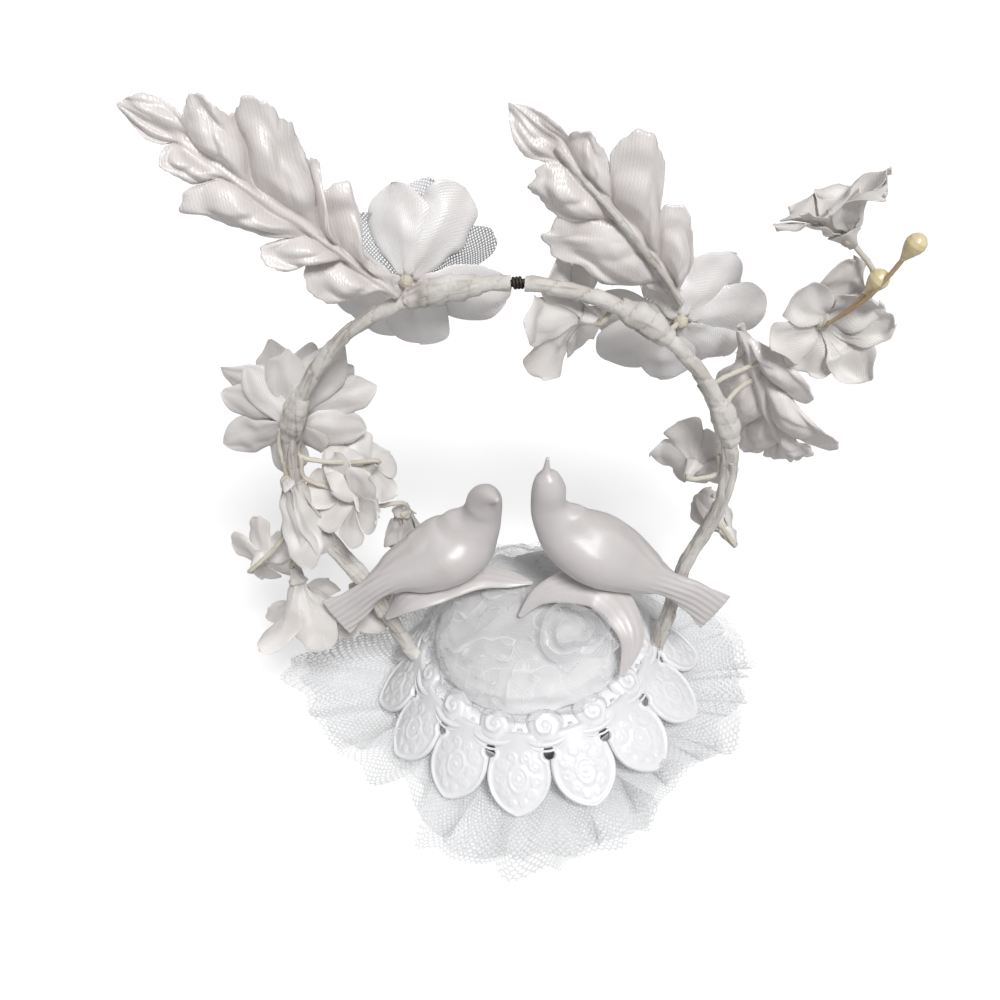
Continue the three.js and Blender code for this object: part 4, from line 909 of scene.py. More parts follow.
def beside_arch(side, share, degrees):
    """A point that touches the arch from outside, turned round it by an angle."""
    line = arches[side]
    at = share * (len(line) - 1)
    low = int(at)
    point = line[low] + (line[min(low + 1, len(line) - 1)] - line[low]) * (at - low)
    heading = line[min(low + 1, len(line) - 1)] - line[max(low - 1, 0)]
    right = unit(np.cross((0, 1, 0), unit(heading)))
    right *= math.copysign(1, right[0])
    off = arch_wire / 2 + stem_wire / 2 + 0.3
    turn = math.radians(degrees)
    return point + off * math.cos(turn) * right * (1, 0, 1) + off * math.sin(turn) * np.array((0, 1, 0))


def flower_pose(at_shares, turn, tip):
    """A flower's own axes: its back looks at the viewer along +Z, turned about Z and tipped."""
    basis = Matrix.Rotation(turn, 3, "Z") @ Matrix.Rotation(math.pi / 2 + tip, 3, "X")
    return np.array(basis), in_wreath(at_shares)


# Each head: where it is in the wreath, how it is turned and tipped, how far its neck stands off, the
# side of the arch, where its stem lies along that and at what angle, and what the stem goes through
heads = {}
for name, at, turn, tip, neck, side, join, beside, *through in (
        ("flower_left", (-0.158, 0.045, 0.996), 0, 0, 0, "left", (0.88, 0.93), 60),
        ("flower_side", (-0.487, 0.045, 0.72), 0, 0, 0, "left", (0.56, 0.6), 70),
        ("flower_right", (0.4, 0.075, 0.86), 0, 0, 0, "right", (0.76, 0.81), 100),
        ("blossom_crown", (0.196, 0.03, 0.905), 0.95, 0, 4.5, "right", (0.85, 0.81), 150),
        ("blossom_far", (0.72, 0.02, 1.02), 0.75, 1.15, 0, "right", (0.6, 0.55), 40,
         (0.768, 0, 0.968), (0.775, 0.06, 0.88), (0.62, 0.1, 0.75)),
        ("blossom_right", (0.687, 0.04, 0.855), 0, -0.1, 0, "right", (0.63, 0.58), 100,
         (0.57, 0.05, 0.78)),
        ("bell_upper", (-0.508, -0.02, 0.62), -0.5, -1.5, 0, "left", (0.52, 0.55), 170),
        ("blossom_inner_a", (-0.372, 0, 0.556), -0.5, 2.7, 4.5, "left", (0.46, 0.5), 20),
        ("blossom_inner_b", (-0.33, 0.045, 0.6), 1.1, -0.7, 4.5, "left", (0.5, 0.54), 45),
        ("blossom_inner_c", (-0.286, 0.1, 0.44), 0.5, -1.2, 4.5, "left", (0.4, 0.44), 60),
        ("blossom_low_a", (-0.653, 0.02, 0.39), -0.4, -0.1, 4.5, "left", (0.4, 0.44), 150),
        ("blossom_low_b", (-0.57, 0, 0.345), 0.5, -1.72, 4.5, "left", (0.36, 0.4), 150),
        ("blossom_low_c", (-0.455, 0.06, 0.235), -0.4, -1.5, 4.5, "left", (0.23, 0.27), 130),
        ("blossom_low_d", (-0.375, 0.13, 0.2), 0.6, -1.2, 4.5, "left", (0.17, 0.21), 60),
        ("blossom_right_a", (0.42, 0.05, 0.55), -0.3, 0, 4.5, "right", (0.46, 0.5), 160),
        ("blossom_right_b", (0.5, 0.05, 0.37), 0.3, 0, 4.5, "right", (0.36, 0.4), 60)):
    basis, head = flower_pose(at, turn, tip)
    heads[name] = ((basis, head), neck)
    nape = [head + basis @ (0, 0, neck)] if neck else []
    ends = [beside_arch(side, share, beside) for share in join]
    through = [in_wreath(s) for s in through]
    if not through:
        begin = nape[0] if nape else head
        span = np.linalg.norm(ends[0] - begin)
        midway = begin * 0.5 + ends[0] * 0.5 + (0.03 * span, -0.03 * span, -0.05 * span)
        through = [midway] if span > 7 else []
    line = curve_through([head, *nape, *through, *ends], 0.6)
    knot = curve_through([head + basis @ (0, 0, z) for z in (-1.5, -0.5, 0.6, 1.7)], 0.3)
    round_knot = np.sqrt(np.clip(1 - np.linspace(-0.96, 0.96, len(knot)) ** 2, 0.02, None))
    stem = joined(f"{name}_wired_stem", [
        taped("stem", line, stem_wire / 2 * 0.84, stem_paper, tape=2.6, lap=0.14, lump=0.2, size=420.0,
              sides=9),
        taped("knot", knot, knot_size / 2, stem_paper, round_knot, tape=1.2, lap=0.1, lump=0.3, sides=12)])
    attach(stem, "root")
    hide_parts(f"{name}_stem")

# Doves: two hollow mouldings of milky white polystyrene, smooth and glossy, with feather grooves on
# the folded wings and the fanned tail. Each is glued to a crescent pair of spread wings, which is
# glued on the puff, and they look up at each other.

dove_length, dove_girth = 52, 16.5
left_dove = dict(
    seat=(-0.183, 0.048, 0.261), up=(0, -1, 0.35), eye_share=0.81, eye_at=3.74,
    spine=[(-0.55, -0.2, 0.04), (-0.45, -0.18, 0.1), (-0.35, -0.15, 0.17), (-0.23, -0.11, 0.23),
           (-0.12, -0.08, 0.25), (-0.02, -0.05, 0.275), (0.07, -0.03, 0.325), (0.135, -0.02, 0.405),
           (0.185, -0.02, 0.49), (0.215, -0.04, 0.57), (0.245, -0.09, 0.635), (0.29, -0.15, 0.66)],
    width=[0.33, 0.25, 0.2, 0.33, 0.46, 0.5, 0.45, 0.29, 0.25, 0.245, 0.15, 0.03],
    height=[0.06, 0.09, 0.2, 0.35, 0.48, 0.52, 0.46, 0.3, 0.25, 0.24, 0.14, 0.03])
right_dove = dict(
    seat=(0.153, -0.04, 0.321), up=(0, -1, 0.35), eye_share=0.76, eye_at=3.42,
    spine=[(0.58, -0.04, -0.18), (0.48, -0.02, -0.09), (0.37, 0, -0.02), (0.27, 0.02, 0.04),
           (0.16, 0.04, 0.105), (0.055, 0.04, 0.185), (-0.035, 0.04, 0.275), (-0.09, 0.04, 0.37),
           (-0.12, 0.04, 0.46), (-0.12, 0.04, 0.55), (-0.12, 0.04, 0.615), (-0.12, 0.04, 0.655),
           (-0.11, 0.04, 0.72)],
    width=[0.33, 0.25, 0.2, 0.34, 0.47, 0.5, 0.41, 0.25, 0.22, 0.228, 0.165, 0.06, 0.02],
    height=[0.06, 0.09, 0.2, 0.36, 0.49, 0.52, 0.41, 0.26, 0.22, 0.225, 0.165, 0.06, 0.02])

# The doves' plastic: greyer than the base's, partly as a milkier plastic and partly as painted shade,
# with a waxy skin
dove_plastic = plastic_finish("milky_polystyrene", "#D3D0D0", "#C3BDBB", 0.3, 0.26, 0.44)


def smooth_stations(values, steps):
    """Values at stations, drawn smoothly through them at even steps."""
    p = np.asarray(values, float)
    if p.ndim == 1:
        p = p[:, None]
    p = np.concatenate([[2 * p[0] - p[1]], p, [2 * p[-1] - p[-2]]])
    at = np.linspace(0, len(p) - 3, steps)
    i = np.minimum(at.astype(int), len(p) - 4)
    t = (at - i)[:, None]
    a, b, c, d = p[i], p[i + 1], p[i + 2], p[i + 3]
    return b + 0.5 * t * (c - a + t * (2 * a - 5 * b + 4 * c - d + t * (3 * (b - c) + d - a)))


def lofted(name, spine, width, height, up, shape, steps=150, around=72):
    """A closed body over oval rings along a spine. shape(along, turn) gives how far its skin
    stands out in mm and how hollow it is, from arrays of the share along and the angle round."""
    spine = smooth_stations(spine, steps)
    width = np.clip(smooth_stations(width, steps)[:, 0], 0.12, None)
    height = np.clip(smooth_stations(height, steps)[:, 0], 0.12, None)
    ahead = unit(np.gradient(spine, axis=0))
    across = unit(np.cross(np.asarray(up, float), ahead))
    above = np.cross(ahead, across)
    S, T = grid(np.linspace(0, 1, steps), turns_of(around))
    out, hollow = shape(S, T, width[:, None], height[:, None])
    reach = across[:, None] * np.cos(T)[..., None] * width[:, None, None]
    reach = reach + above[:, None] * np.sin(T)[..., None] * height[:, None, None]
    away = across[:, None] * (np.cos(T) / width[:, None])[..., None]
    away = away + above[:, None] * (np.sin(T) / height[:, None])[..., None]
    skin = spine[:, None] + reach + unit(away) * out[..., None]
    points, faces = closed_shell(skin, spine[0] - ahead[0] * 0.2, spine[-1] + ahead[-1] * 0.1)
    return tidied(piece_of(name, points, faces, dove_plastic,
                           marks={"hollow": np.concatenate([hollow.ravel(), [0, 0]])}))


def step_at(value, place, soft):
    """0 before a place and 1 after it, eased over a soft width."""
    t = np.clip((value - place) / soft + 0.5, 0, 1)
    return t * t * (3 - 2 * t)


def dove_skin(S, T, width):
    """Tail grooves, two folded wings with feather edges, and the dip of the back between them."""
    side = np.cos(T) * width
    tail = 1 - step_at(S, 0.27, 0.1)
    groove = 0.5 + 0.5 * np.cos(side * 2 * math.pi / 1.5 + 0.8 * np.sin(9 * S))
    out = -0.3 * tail * groove ** 2
    # hollow greys the tail and feather grooves and the back's dip: dusty, and painted shade
    hollow = 0.45 * tail * groove ** 4
    flank = np.cos(T) ** 2
    wing = step_at(S, 0.24, 0.1) * (1 - step_at(S, 0.74, 0.09))
    far_wing, near_wing, back = (np.exp((np.cos(T - at) - 1) / soft)
                                 for at, soft in ((0.15, 0.24), (1.95, 0.22), (1.05, 0.06)))
    chest = np.exp(-((S - 0.7) / 0.12) ** 2 + (np.cos(T - math.pi) - 1) / 0.5)
    out = out + 2.1 * chest
    shoulder = 1.0 * step_at(S, 0.42, 0.36) + 1.3 * hump(S, 0.7, 0.07)
    out = out + shoulder * wing * far_wing
    out = out + 1.2 * hump(S, 0.54, 0.11) * near_wing
    out = out - 0.45 * wing * (1 - step_at(S, 0.64, 0.16)) * back
    hollow = hollow + 0.15 * wing * back
    feather = 0.5 + 0.5 * np.cos((T * 5.5 + S * 10) * 2)
    out = out - 0.24 * wing * step_at(flank, 0.3, 0.3) * feather ** 3 * (1 - step_at(S, 0.52, 0.16))
    hollow = hollow + 0.16 * wing * feather ** 4 * flank
    return out, np.clip(hollow, 0, 1)


def eye_dots(spec, spine_points, spread):
    """Two small moulded dots on the sides of the head."""
    at = smooth_stations(spine_points, 96)
    index = int(spec["eye_share"] * 95)
    ahead = at[index + 1] - at[index - 1]
    across = unit(np.cross(spec["up"], ahead))
    dots = []
    for way in (1, -1):
        form = bmesh.new()
        bmesh.ops.create_icosphere(form, subdivisions=3, radius=0.42 * mm)
        bmesh.ops.translate(form, verts=form.verts, vec=Vector((at[index] + way * across * spread) * mm))
        mesh = bpy.data.meshes.new("eye")
        form.to_mesh(mesh)
        form.free()
        mesh.attributes.new("hollow", "FLOAT", "POINT")
        mesh.materials.append(dove_plastic)
        dots.append(bpy.data.objects.new("eye", mesh))
    return dots


for side, spec in (("left", left_dove), ("right", right_dove)):
    def skin_at(S, T, width, height):
        """The dove's skin: places are in tenths of the body, and the right dove is the mirror."""
        return dove_skin(S * (len(spec["spine"]) - 1) / 10, T if side == "left" else math.pi - T, width)

    spine = np.asarray(spec["spine"]) * dove_length + in_wreath(spec["seat"])
    skin = lofted(f"dove_{side}_skin", spine, np.array(spec["width"]) * dove_girth,
                  np.array(spec["height"]) * dove_girth, spec["up"], skin_at)
    dove = joined(f"dove_{side}_moulding", [skin, *eye_dots(spec, spine, spec["eye_at"])])
    dove.data.polygons.foreach_set("use_smooth", [True] * len(dove.data.polygons))
    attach(dove, "root")
    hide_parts(f"dove_{side}")

# Spread wings: a crescent of the same plastic, thick at the front edge and grooved like feathers
wing_span, wing_chord, wing_thickness = 40, 9, 2.2
wing_pairs = {
    "left": dict(seat=(-0.17, -0.01, 0.306), up=(0, -0.25, 1),
                 chord=[0.05, 0.26, 0.4, 0.52, 0.56, 0.42, 0.07],
                 spine=[(0.46, 0.06, -0.05), (0.33, 0.08, -0.03), (0.16, 0.07, 0.02), (0, 0.04, 0.03),
                        (-0.15, -0.03, 0.04), (-0.3, -0.08, 0), (-0.45, -0.1, -0.13)]),
    "right": dict(seat=(0.153, -0.04, 0.321), up=(0.3, -0.55, 0.8),
                  chord=[0.05, 0.26, 0.46, 0.54, 0.48, 0.32, 0.06],
                  spine=[(-0.41, -0.1, -0.14), (-0.27, -0.05, -0.02), (-0.09, -0.03, 0.02),
                         (0.08, -0.05, 0), (0.2, -0.13, -0.12), (0.25, -0.25, -0.24),
                         (0.18, -0.38, -0.4)])}


def wing_skin(S, T, width, height):
    """Shallow feather grooves that run along the blade on both faces."""
    groove = 0.5 + 0.5 * np.cos(np.cos(T) * 13 + 3 * np.sin(3 * S))
    open_face = np.sin(T) ** 2
    return -0.16 * groove ** 3 * open_face, 0.22 * groove ** 4 * open_face


for side, spec in wing_pairs.items():
    spine = np.asarray(spec["spine"]) * wing_span + in_wreath(spec["seat"])
    chord = np.array(spec["chord"])
    pair = lofted(f"dove_{side}_spread_wings", spine, chord * wing_chord,
                  wing_thickness / 2 * np.minimum(1, chord / 0.4), spec["up"], wing_skin, 90, 40)
    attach(pair, "root")
    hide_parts(f"dove_{side}_wings")

# Leaves: cut from starched satin and pressed hot between dies into puffed lobes with veins, each with
# a paper-covered wire glued along its midrib. The cut edges have begun to fray.

leaf_length, leaf_width = 58, 31
cloth_thickness = 0.28
# Each side of a blade, from its stalk to its tip, in mm: for each lobe, where its veins begin on the
# rib, the notch before it, and then points round its cut edge
leaves = {
    "leaf_left": dict(
        base=(-0.17, -0.015, 0.996), tip=(-0.6, -0.03, 1.37), roll=0.3, rib=-1, length=60.7, bow=-1.9,
        puffed=1.25,
        left=[(0, (0, 0.4), (3.9, 0.7), (6.2, 2.5), (7.5, 5.5), (10.1, 7.8), (14.9, 7.8), (17.9, 6.3)),
              (12, (18.5, 4.5), (21.3, 6.2), (24.9, 7.5), (27.1, 6.6), (25.8, 3.6)),
              (20.5, (24.2, 1.8), (28, 3.8), (33.1, 5.6), (36.6, 6.9), (39.8, 7.7), (42.4, 8.4),
               (44.3, 5.4), (43, 2.7)),
              (38, (40.3, 0.2), (43.9, 3.1), (47.8, 3.7), (49.8, 4), (50.9, 1.7)),
              (48.6, (49.9, -0.4), (51.8, 1.1), (54.5, 1.9), (58.1, 0.9))],
        right=[(0, (0, 0.4), (4, 3.2), (9, 4.6), (12.7, 5.5), (17.3, 10.8), (19.4, 12.6), (21.1, 13.3),
                (22.7, 11)),
               (14, (23.6, 7.8), (26.1, 11.2), (27.9, 13.1)),
               (19, (29.8, 12.5), (31.4, 13.9), (35.5, 16), (38.5, 15.8), (42.1, 16.4), (44.4, 15.6),
                (44.8, 13.4)),
               (33, (44.2, 11.1), (45.9, 10.6), (48.6, 10.7), (51.3, 10), (51.6, 7.4)),
               (47.4, (51.1, 4.9), (53.2, 5.9), (55.4, 5.6), (58.2, 4.2))]),
    "leaf_middle": dict(
        base=(0.4, 0.075, 0.9), tip=(0.1, 0.07, 1.275), roll=0.0, rib=1, length=54.1, bow=-3.0, puffed=0.9,
        left=[(0, (0, 0.4), (4, 1.3), (7.5, 2.2)),
              (6, (9.3, 2.4), (13.7, 6.7), (17.9, 8.5), (22.9, 9.8), (25.2, 11), (28, 11.3), (29.7, 10.7),
               (32.4, 10.8), (31.7, 8.8), (33, 7.5), (33, 5.6), (31.6, 3.9)),
              (25, (29.3, 2), (32.9, 5.4), (37.7, 6.5), (41.4, 6.5), (41.8, 4.7), (43, 3.7)),
              (39, (42.3, 1.6), (44.4, 3), (46.9, 3.4), (50.5, 2.4))],
        right=[(0, (0, 0.4), (4, 3.5), (8, 8), (13, 12), (18, 13.2), (20.3, 11)),
               (11, (19, 7.2), (22, 10.5), (26.9, 14.6), (30.8, 16.5), (33.9, 16.9), (35.8, 15.8),
                (37.1, 14.3), (37.1, 12), (36, 9.5)),
               (27, (33.6, 7.2), (36.7, 8.9), (40.1, 9.2), (42.8, 9.3), (42.8, 7.6), (43.8, 6.2)),
               (40, (43.1, 4.6), (46.5, 5.1), (49.3, 3.9), (51.2, 2.6))])}
leaves["leaf_right"] = dict(
    leaves["leaf_middle"], base=(0.52, 0.05, 0.85), tip=(0.66, 0.22, 0.46), roll=0.5, rib=-1, bow=2.5,
    length=56,
    left=leaves["leaf_middle"]["right"], right=leaves["leaf_middle"]["left"])


def satin_finish(name, light, shade, weave=0.42, gloss=0.3, sheer=0.12):
    """Acetate satin: long floats that shine in bands, the weave drawn coarse enough to be seen."""
    finish, tree = new_finish(name)
    cut = add(tree, "ShaderNodeUVMap", {"uv_map": "cut"})
    place = add(tree, "ShaderNodeTexCoord").outputs["Object"]
    floats = add(tree, "ShaderNodeTexWave", {
        "wave_type": "BANDS", "bands_direction": "DIAGONAL", "Scale": 0.314 / weave, "Distortion": 1.4,
        "Detail": 2.0, "Detail Scale": 1.4, "Vector": cut})
    picks = add(tree, "ShaderNodeTexWave", {
        "wave_type": "BANDS", "bands_direction": "Y", "Scale": 0.314 / weave * 0.8, "Distortion": 1.2,
        "Detail": 1.0, "Detail Scale": 2.0, "Vector": cut})
    age = add(tree, "ShaderNodeTexNoise", {"Scale": 85.0, "Detail": 4.0, "Vector": place})
    share = add(tree, "ShaderNodeMapRange", {"From Min": 0.35, "From Max": 0.7, "Value": age})
    colour = add(tree, "ShaderNodeMix", {"data_type": "RGBA", 0: share, 6: light, 7: shade})
    # Creases mixed toward pink-grey: painted shade in the folds
    crease = add(tree, "ShaderNodeAttribute", {"attribute_name": "crease"})
    crease_shade = add(tree, "ShaderNodeMapRange", {"To Max": 0.8, "Value": crease.outputs["Fac"]})
    colour = add(tree, "ShaderNodeMix", {
        "data_type": "RGBA", 0: crease_shade, 6: colour.outputs[2], 7: "#C4BDBA"})
    thread = add(tree, "ShaderNodeMapRange", {
        "To Min": 0.0, "To Max": 0.09, "Value": floats.outputs["Fac"]})
    colour = add(tree, "ShaderNodeMix", {
        "data_type": "RGBA", 0: thread, 6: colour.outputs[2], 7: "#A79F9D"})
    rough = add(tree, "ShaderNodeMapRange", {
        "To Min": gloss, "To Max": gloss + 0.14, "Value": picks.outputs["Fac"]})
    bump = add(tree, "ShaderNodeBump", {
        "Strength": 0.3, "Distance": 0.0001, "Height": floats.outputs["Fac"]})
    bump = add(tree, "ShaderNodeBump", {
        "Strength": 0.2, "Distance": 0.00008, "Height": picks.outputs["Fac"], "Normal": bump})
    along = add(tree, "ShaderNodeTangent", {"direction_type": "UV_MAP", "uv_map": "cut"})
    satin = add(tree, "ShaderNodeBsdfPrincipled", {
        "Specular IOR Level": 0.85, "Anisotropic": 0.5, "Sheen Weight": 0.12, "Sheen Roughness": 0.35,
        "Base Color": colour.outputs[2], "Roughness": rough, "Normal": bump, "Tangent": along})
    through = add(tree, "ShaderNodeBsdfTranslucent", {"Color": "#F3EFED", "Normal": bump})
    both = add(tree, "ShaderNodeMixShader", {0: sheer, 1: satin, 2: through})
    add(tree, "ShaderNodeOutputMaterial", {"Surface": both})
    return finish


def leaf_pose(spec):
    """A leaf's axes: along its rib, across it, and out of its face."""
    base = in_wreath(spec["base"])
    along = unit(in_wreath(spec["tip"]) - base)
    across = unit(np.cross((0, -1, 0), along))
    turned = np.array(Matrix.Rotation(spec["roll"], 3, "X"))
    return np.stack([along, across, np.cross(along, across)], 1) @ turned, base


def arched(s):
    """How far a leaf's rib bows out, in mm, at a share of its length."""
    return 0.1 * leaf_length * np.sin(math.pi * s)


def crushed(points, depth, size, seed):
    """Points in mm, moved by soft noise as handling has bent the cloth."""
    away = Vector((seed * 1.3, seed * 0.7, seed * 2.1))
    return np.array([np.add(p, np.array(noise.noise_vector(Vector(p) / size + away)) * depth)
                     for p in points.tolist()])


def leaf_blade(name, spec, finish):
    """The pressed blade: rows run from its rib to its cut edge, and swell into pads between creases."""
    basis, base = leaf_pose(spec)
    steps, across = 250, 61
    S, V = grid(np.linspace(0, 1, steps), np.linspace(-1, 1, across))
    U = np.abs(V)
    along, side, q, number = S * spec["length"], np.zeros_like(S), np.zeros_like(S), np.zeros_like(S)
    edge = [along.copy(), side.copy()]
    for way, lobes in ((1, spec["left"]), (-1, spec["right"])):
        lobes = [*lobes, (spec["length"], (spec["length"], 0))]
        for i, (lobe, after) in enumerate(zip(lobes, lobes[1:])):
            line = curve_through([(x, y * way, 0) for x, y in [*lobe[1:], after[1]]], 0.1)
            share = (along - lobe[0]) / (after[0] - lobe[0])
            mine = (share >= 0) & (share <= 1) & (V * way >= 0)
            for axis in (0, 1):
                edge[axis][mine] = np.interp(share[mine], np.linspace(0, 1, len(line)), line[:, axis])
            q[mine] = share[mine] - 0.5
            number[mine] = i * 2.4 + (way < 0) * 1.9
    middle = spec["bow"] * np.sin(math.pi * S) ** 0.7
    teeth = 1 + U ** 4 * (0.016 * np.sin(26 * q + number) + 0.012 * np.sin(61 * q + 2 * number))
    x = along + U * (edge[0] - along) * teeth
    y = middle + U * (edge[1] - middle) * teeth
    strip = np.hypot(edge[0] - along, edge[1] - middle)
    out = U * strip
    size = np.clip(strip / 10, 0.15, 1)
    inside = 1 - np.abs(2 * q) ** 4
    pad = np.exp(-(np.abs(q) / 0.36) ** 3) * step_at(U, 0.19, 0.3) * (1 - step_at(U, 0.66, 0.34))
    pad = 2.6 * pad * inside * (1 - 0.22 * hump(q, 0, 0.07))
    outer = hump(U, 0.85, 0.12) * (0.5 + 0.5 * np.cos(12.6 * q + number)) * inside
    valley = -0.9 * hump(np.abs(q), 0.5, 0.09) * ramp(out, 0, 3) * (1 - U ** 3)
    curl = 1.5 * U ** 3 * np.sin(4.5 * q + number) * inside
    rib = 0.75 * hump(out, 0, 0.8) * (1 - 0.6 * S) - 0.4 * hump(out, 1.7, 0.7)
    height = arched(S) + spec["puffed"] * size * (pad + 1.1 * outer + valley + curl) + rib
    # crease: where the satin is painted darker as shade, between lobes, beside the rib and along the pads
    crease = hump(np.abs(q), 0.5, 0.08) * ramp(out, 0, 2) * 0.8
    crease = crease + 0.6 * hump(out, 1.6, 0.6) + 0.3 * hump(U, 0.7, 0.05) * size
    flat = crushed(spots_of(x, y, height), 0.9, 7.0, len(name))
    return tidied(piece_of(name, flat @ basis.T + base, grid_faces(steps, across), finish,
                           np.stack([x, y], -1).reshape(-1, 2), {"crease": np.clip(crease, 0, 1)}), False)


def thickened(piece, thickness=cloth_thickness):
    """Gives a cloth its real thickness, half to each side."""
    wall = piece.modifiers.new("cloth", "SOLIDIFY")
    wall.thickness = thickness * mm
    wall.offset = 0
    return settled(piece)


# White acetate satin gone faintly pink-grey with age
leaf_satin = satin_finish("starched_acetate_satin_leaf", "#F2EEED", "#E4DDDA")

# Frayed threads at the edge of a cut cloth: a few loose fibres, thrown out along the cut
fray_tree = new_tree("frayed_edge", [
    ("Share", "NodeSocketFloat", 0.3), ("Length", "NodeSocketFloat", 0.0012),
    ("Fibre", "NodeSocketFloat", 0.00006), ("Seed", "NodeSocketInt", 3),
    ("Finish", "NodeSocketMaterial", None)])
given = add(fray_tree, "NodeGroupInput").outputs
uses = add(fray_tree, "GeometryNodeInputMeshEdgeNeighbors")
rim = add(fray_tree, "FunctionNodeCompare", {"data_type": "INT", "operation": "EQUAL", 2: uses, 3: 1})
rims = add(fray_tree, "GeometryNodeMeshToCurve", {"Mesh": given["Geometry"], "Selection": rim})
spots = add(fray_tree, "GeometryNodeResampleCurve", {
    "mode": "LENGTH", "Curve": rims, "Length": given["Length"]})
chance = add(fray_tree, "FunctionNodeRandomValue", {
    "data_type": "BOOLEAN", "Probability": given["Share"], "Seed": given["Seed"]})
aim = add(fray_tree, "FunctionNodeRandomValue", {
    "data_type": "FLOAT_VECTOR", "Seed": given["Seed"], 0: (-3.1, -3.1, -3.1), 1: (3.1, 3.1, 3.1)})
stretch_by = add(fray_tree, "FunctionNodeRandomValue", {
    "data_type": "FLOAT", "Seed": given["Seed"], 2: 0.4, 3: 1.3})
fibre = add(fray_tree, "GeometryNodeMeshCone", {
    "Vertices": 4, "Side Segments": 1, "fill_type": "NONE", "Radius Bottom": given["Fibre"],
    "Depth": given["Length"]})
fibres = add(fray_tree, "GeometryNodeInstanceOnPoints", {
    "Points": spots, "Selection": chance.outputs[3], "Instance": fibre, "Rotation": aim,
    "Scale": stretch_by.outputs[1]})
fibres = add(fray_tree, "GeometryNodeRealizeInstances", {0: fibres})
fibres = add(fray_tree, "GeometryNodeSetMaterial", {"Geometry": fibres, "Material": given["Finish"]})
add(fray_tree, "NodeGroupOutput", {0: fibres})

# Loose acetate fibre: the same cloth teased out, so paler and matt
loose_fibre, tree = new_finish("loose_acetate_fibre")
place = add(tree, "ShaderNodeTexCoord").outputs["Object"]
tint = add(tree, "ShaderNodeTexNoise", {"Scale": 900.0, "Vector": place})
colour = add(tree, "ShaderNodeMix", {"data_type": "RGBA", 0: tint, 6: "#EDE8E6", 7: "#D2CAC7"})
thread = add(tree, "ShaderNodeBsdfPrincipled", {"Roughness": 0.8, "Base Color": colour.outputs[2]})
add(tree, "ShaderNodeOutputMaterial", {"Surface": thread})


for name, spec in leaves.items():
    blade = leaf_blade(f"{name}_satin_blade", spec, leaf_satin)
    fray = blade.copy()
    fray.data = blade.data.copy()
    fray.name = f"{name}_frayed_threads"
    bpy.context.collection.objects.link(fray)
    run_tree(fray, fray_tree, {"Share": 0.3, "Length": 0.0011, "Fibre": 0.00005, "Seed": 3,
                               "Finish": loose_fibre})
    thickened(blade)
    basis, base = leaf_pose(spec)
    off = spec["rib"] * 0.75
    rib_line = curve_through([
        basis @ (s * spec["length"], spec["bow"] * math.sin(math.pi * s) ** 0.7, arched(s) + off) + base
        for s in (0, 0.12, 0.25, 0.4, 0.6, 0.8)], 0.6)
    rib = taped(f"{name}_rib_wire", rib_line, 0.72, paper_tape,
                np.linspace(1.1, 0.7, len(rib_line)), tape=3.4, lap=0.16, lump=0.25, size=380.0, sides=10)
    for piece, node, kind in ((blade, f"{name}_blade", "satin"), (fray, f"{name}_blade", "satin"),
                              (rib, f"{name}_rib", "paper_tape")):
        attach(piece, "root")
        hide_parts(node)
    flat = (leaf_width * 1.1 * mm, leaf_length * 1.15 * mm)

# Large flowers: petals cut from the same satin, each pressed with a hot spoon so that it cups, over a
# second layer of open silver mesh or softer satin. They are threaded on the stem below its knot and
# glued. The viewer sees their backs.

petal_root = knot_size / 2 + 0.65
petal_thickness = 0.2
flower_satin = satin_finish("acetate_satin_petal", "#F8F7F7", "#EEEBEA", weave=0.36)
soft_satin = satin_finish("thin_satin_petal", "#F5F3F2", "#E5E1DF", weave=0.3, gloss=0.36, sheer=0.2)

# Silver mesh: a plain net of flat metallic thread, its holes about a third of a millimetre
mesh_pitch = 0.62
silver_mesh, tree = new_finish("silver_lame_mesh")
cut = add(tree, "ShaderNodeUVMap", {"uv_map": "cut"})
cell = add(tree, "ShaderNodeVectorMath", {"operation": "SCALE", "Scale": 1 / mesh_pitch, 0: cut})
cell = add(tree, "ShaderNodeVectorMath", {"operation": "FRACTION", 0: cell})
cell = add(tree, "ShaderNodeVectorMath", {"operation": "SUBTRACT", 0: cell, 1: (0.5, 0.5, 0)})
cell = add(tree, "ShaderNodeVectorMath", {"operation": "ABSOLUTE", 0: cell})
parts = add(tree, "ShaderNodeSeparateXYZ", {0: cell})
rim = add(tree, "ShaderNodeMath", {
    "operation": "MAXIMUM", 0: parts.outputs["X"], 1: parts.outputs["Y"]})
net = add(tree, "ShaderNodeMapRange", {
    "From Min": 0.24, "From Max": 0.34, "To Min": 0.16, "To Max": 1.0, "Value": rim})
place = add(tree, "ShaderNodeTexCoord").outputs["Object"]
glint = add(tree, "ShaderNodeTexNoise", {"Scale": 2400.0, "Detail": 2.0, "Vector": place})
colour = add(tree, "ShaderNodeMix", {"data_type": "RGBA", 0: glint, 6: "#9FA1A4", 7: "#D8DADD"})
rough = add(tree, "ShaderNodeMapRange", {"To Min": 0.25, "To Max": 0.6, "Value": glint})
bump = add(tree, "ShaderNodeBump", {"Strength": 0.6, "Distance": 0.0002, "Height": net})
lame = add(tree, "ShaderNodeBsdfPrincipled", {
    "Metallic": 0.55, "Base Color": colour.outputs[2], "Roughness": rough, "Alpha": net,
    "Normal": bump})
add(tree, "ShaderNodeOutputMaterial", {"Surface": lame})

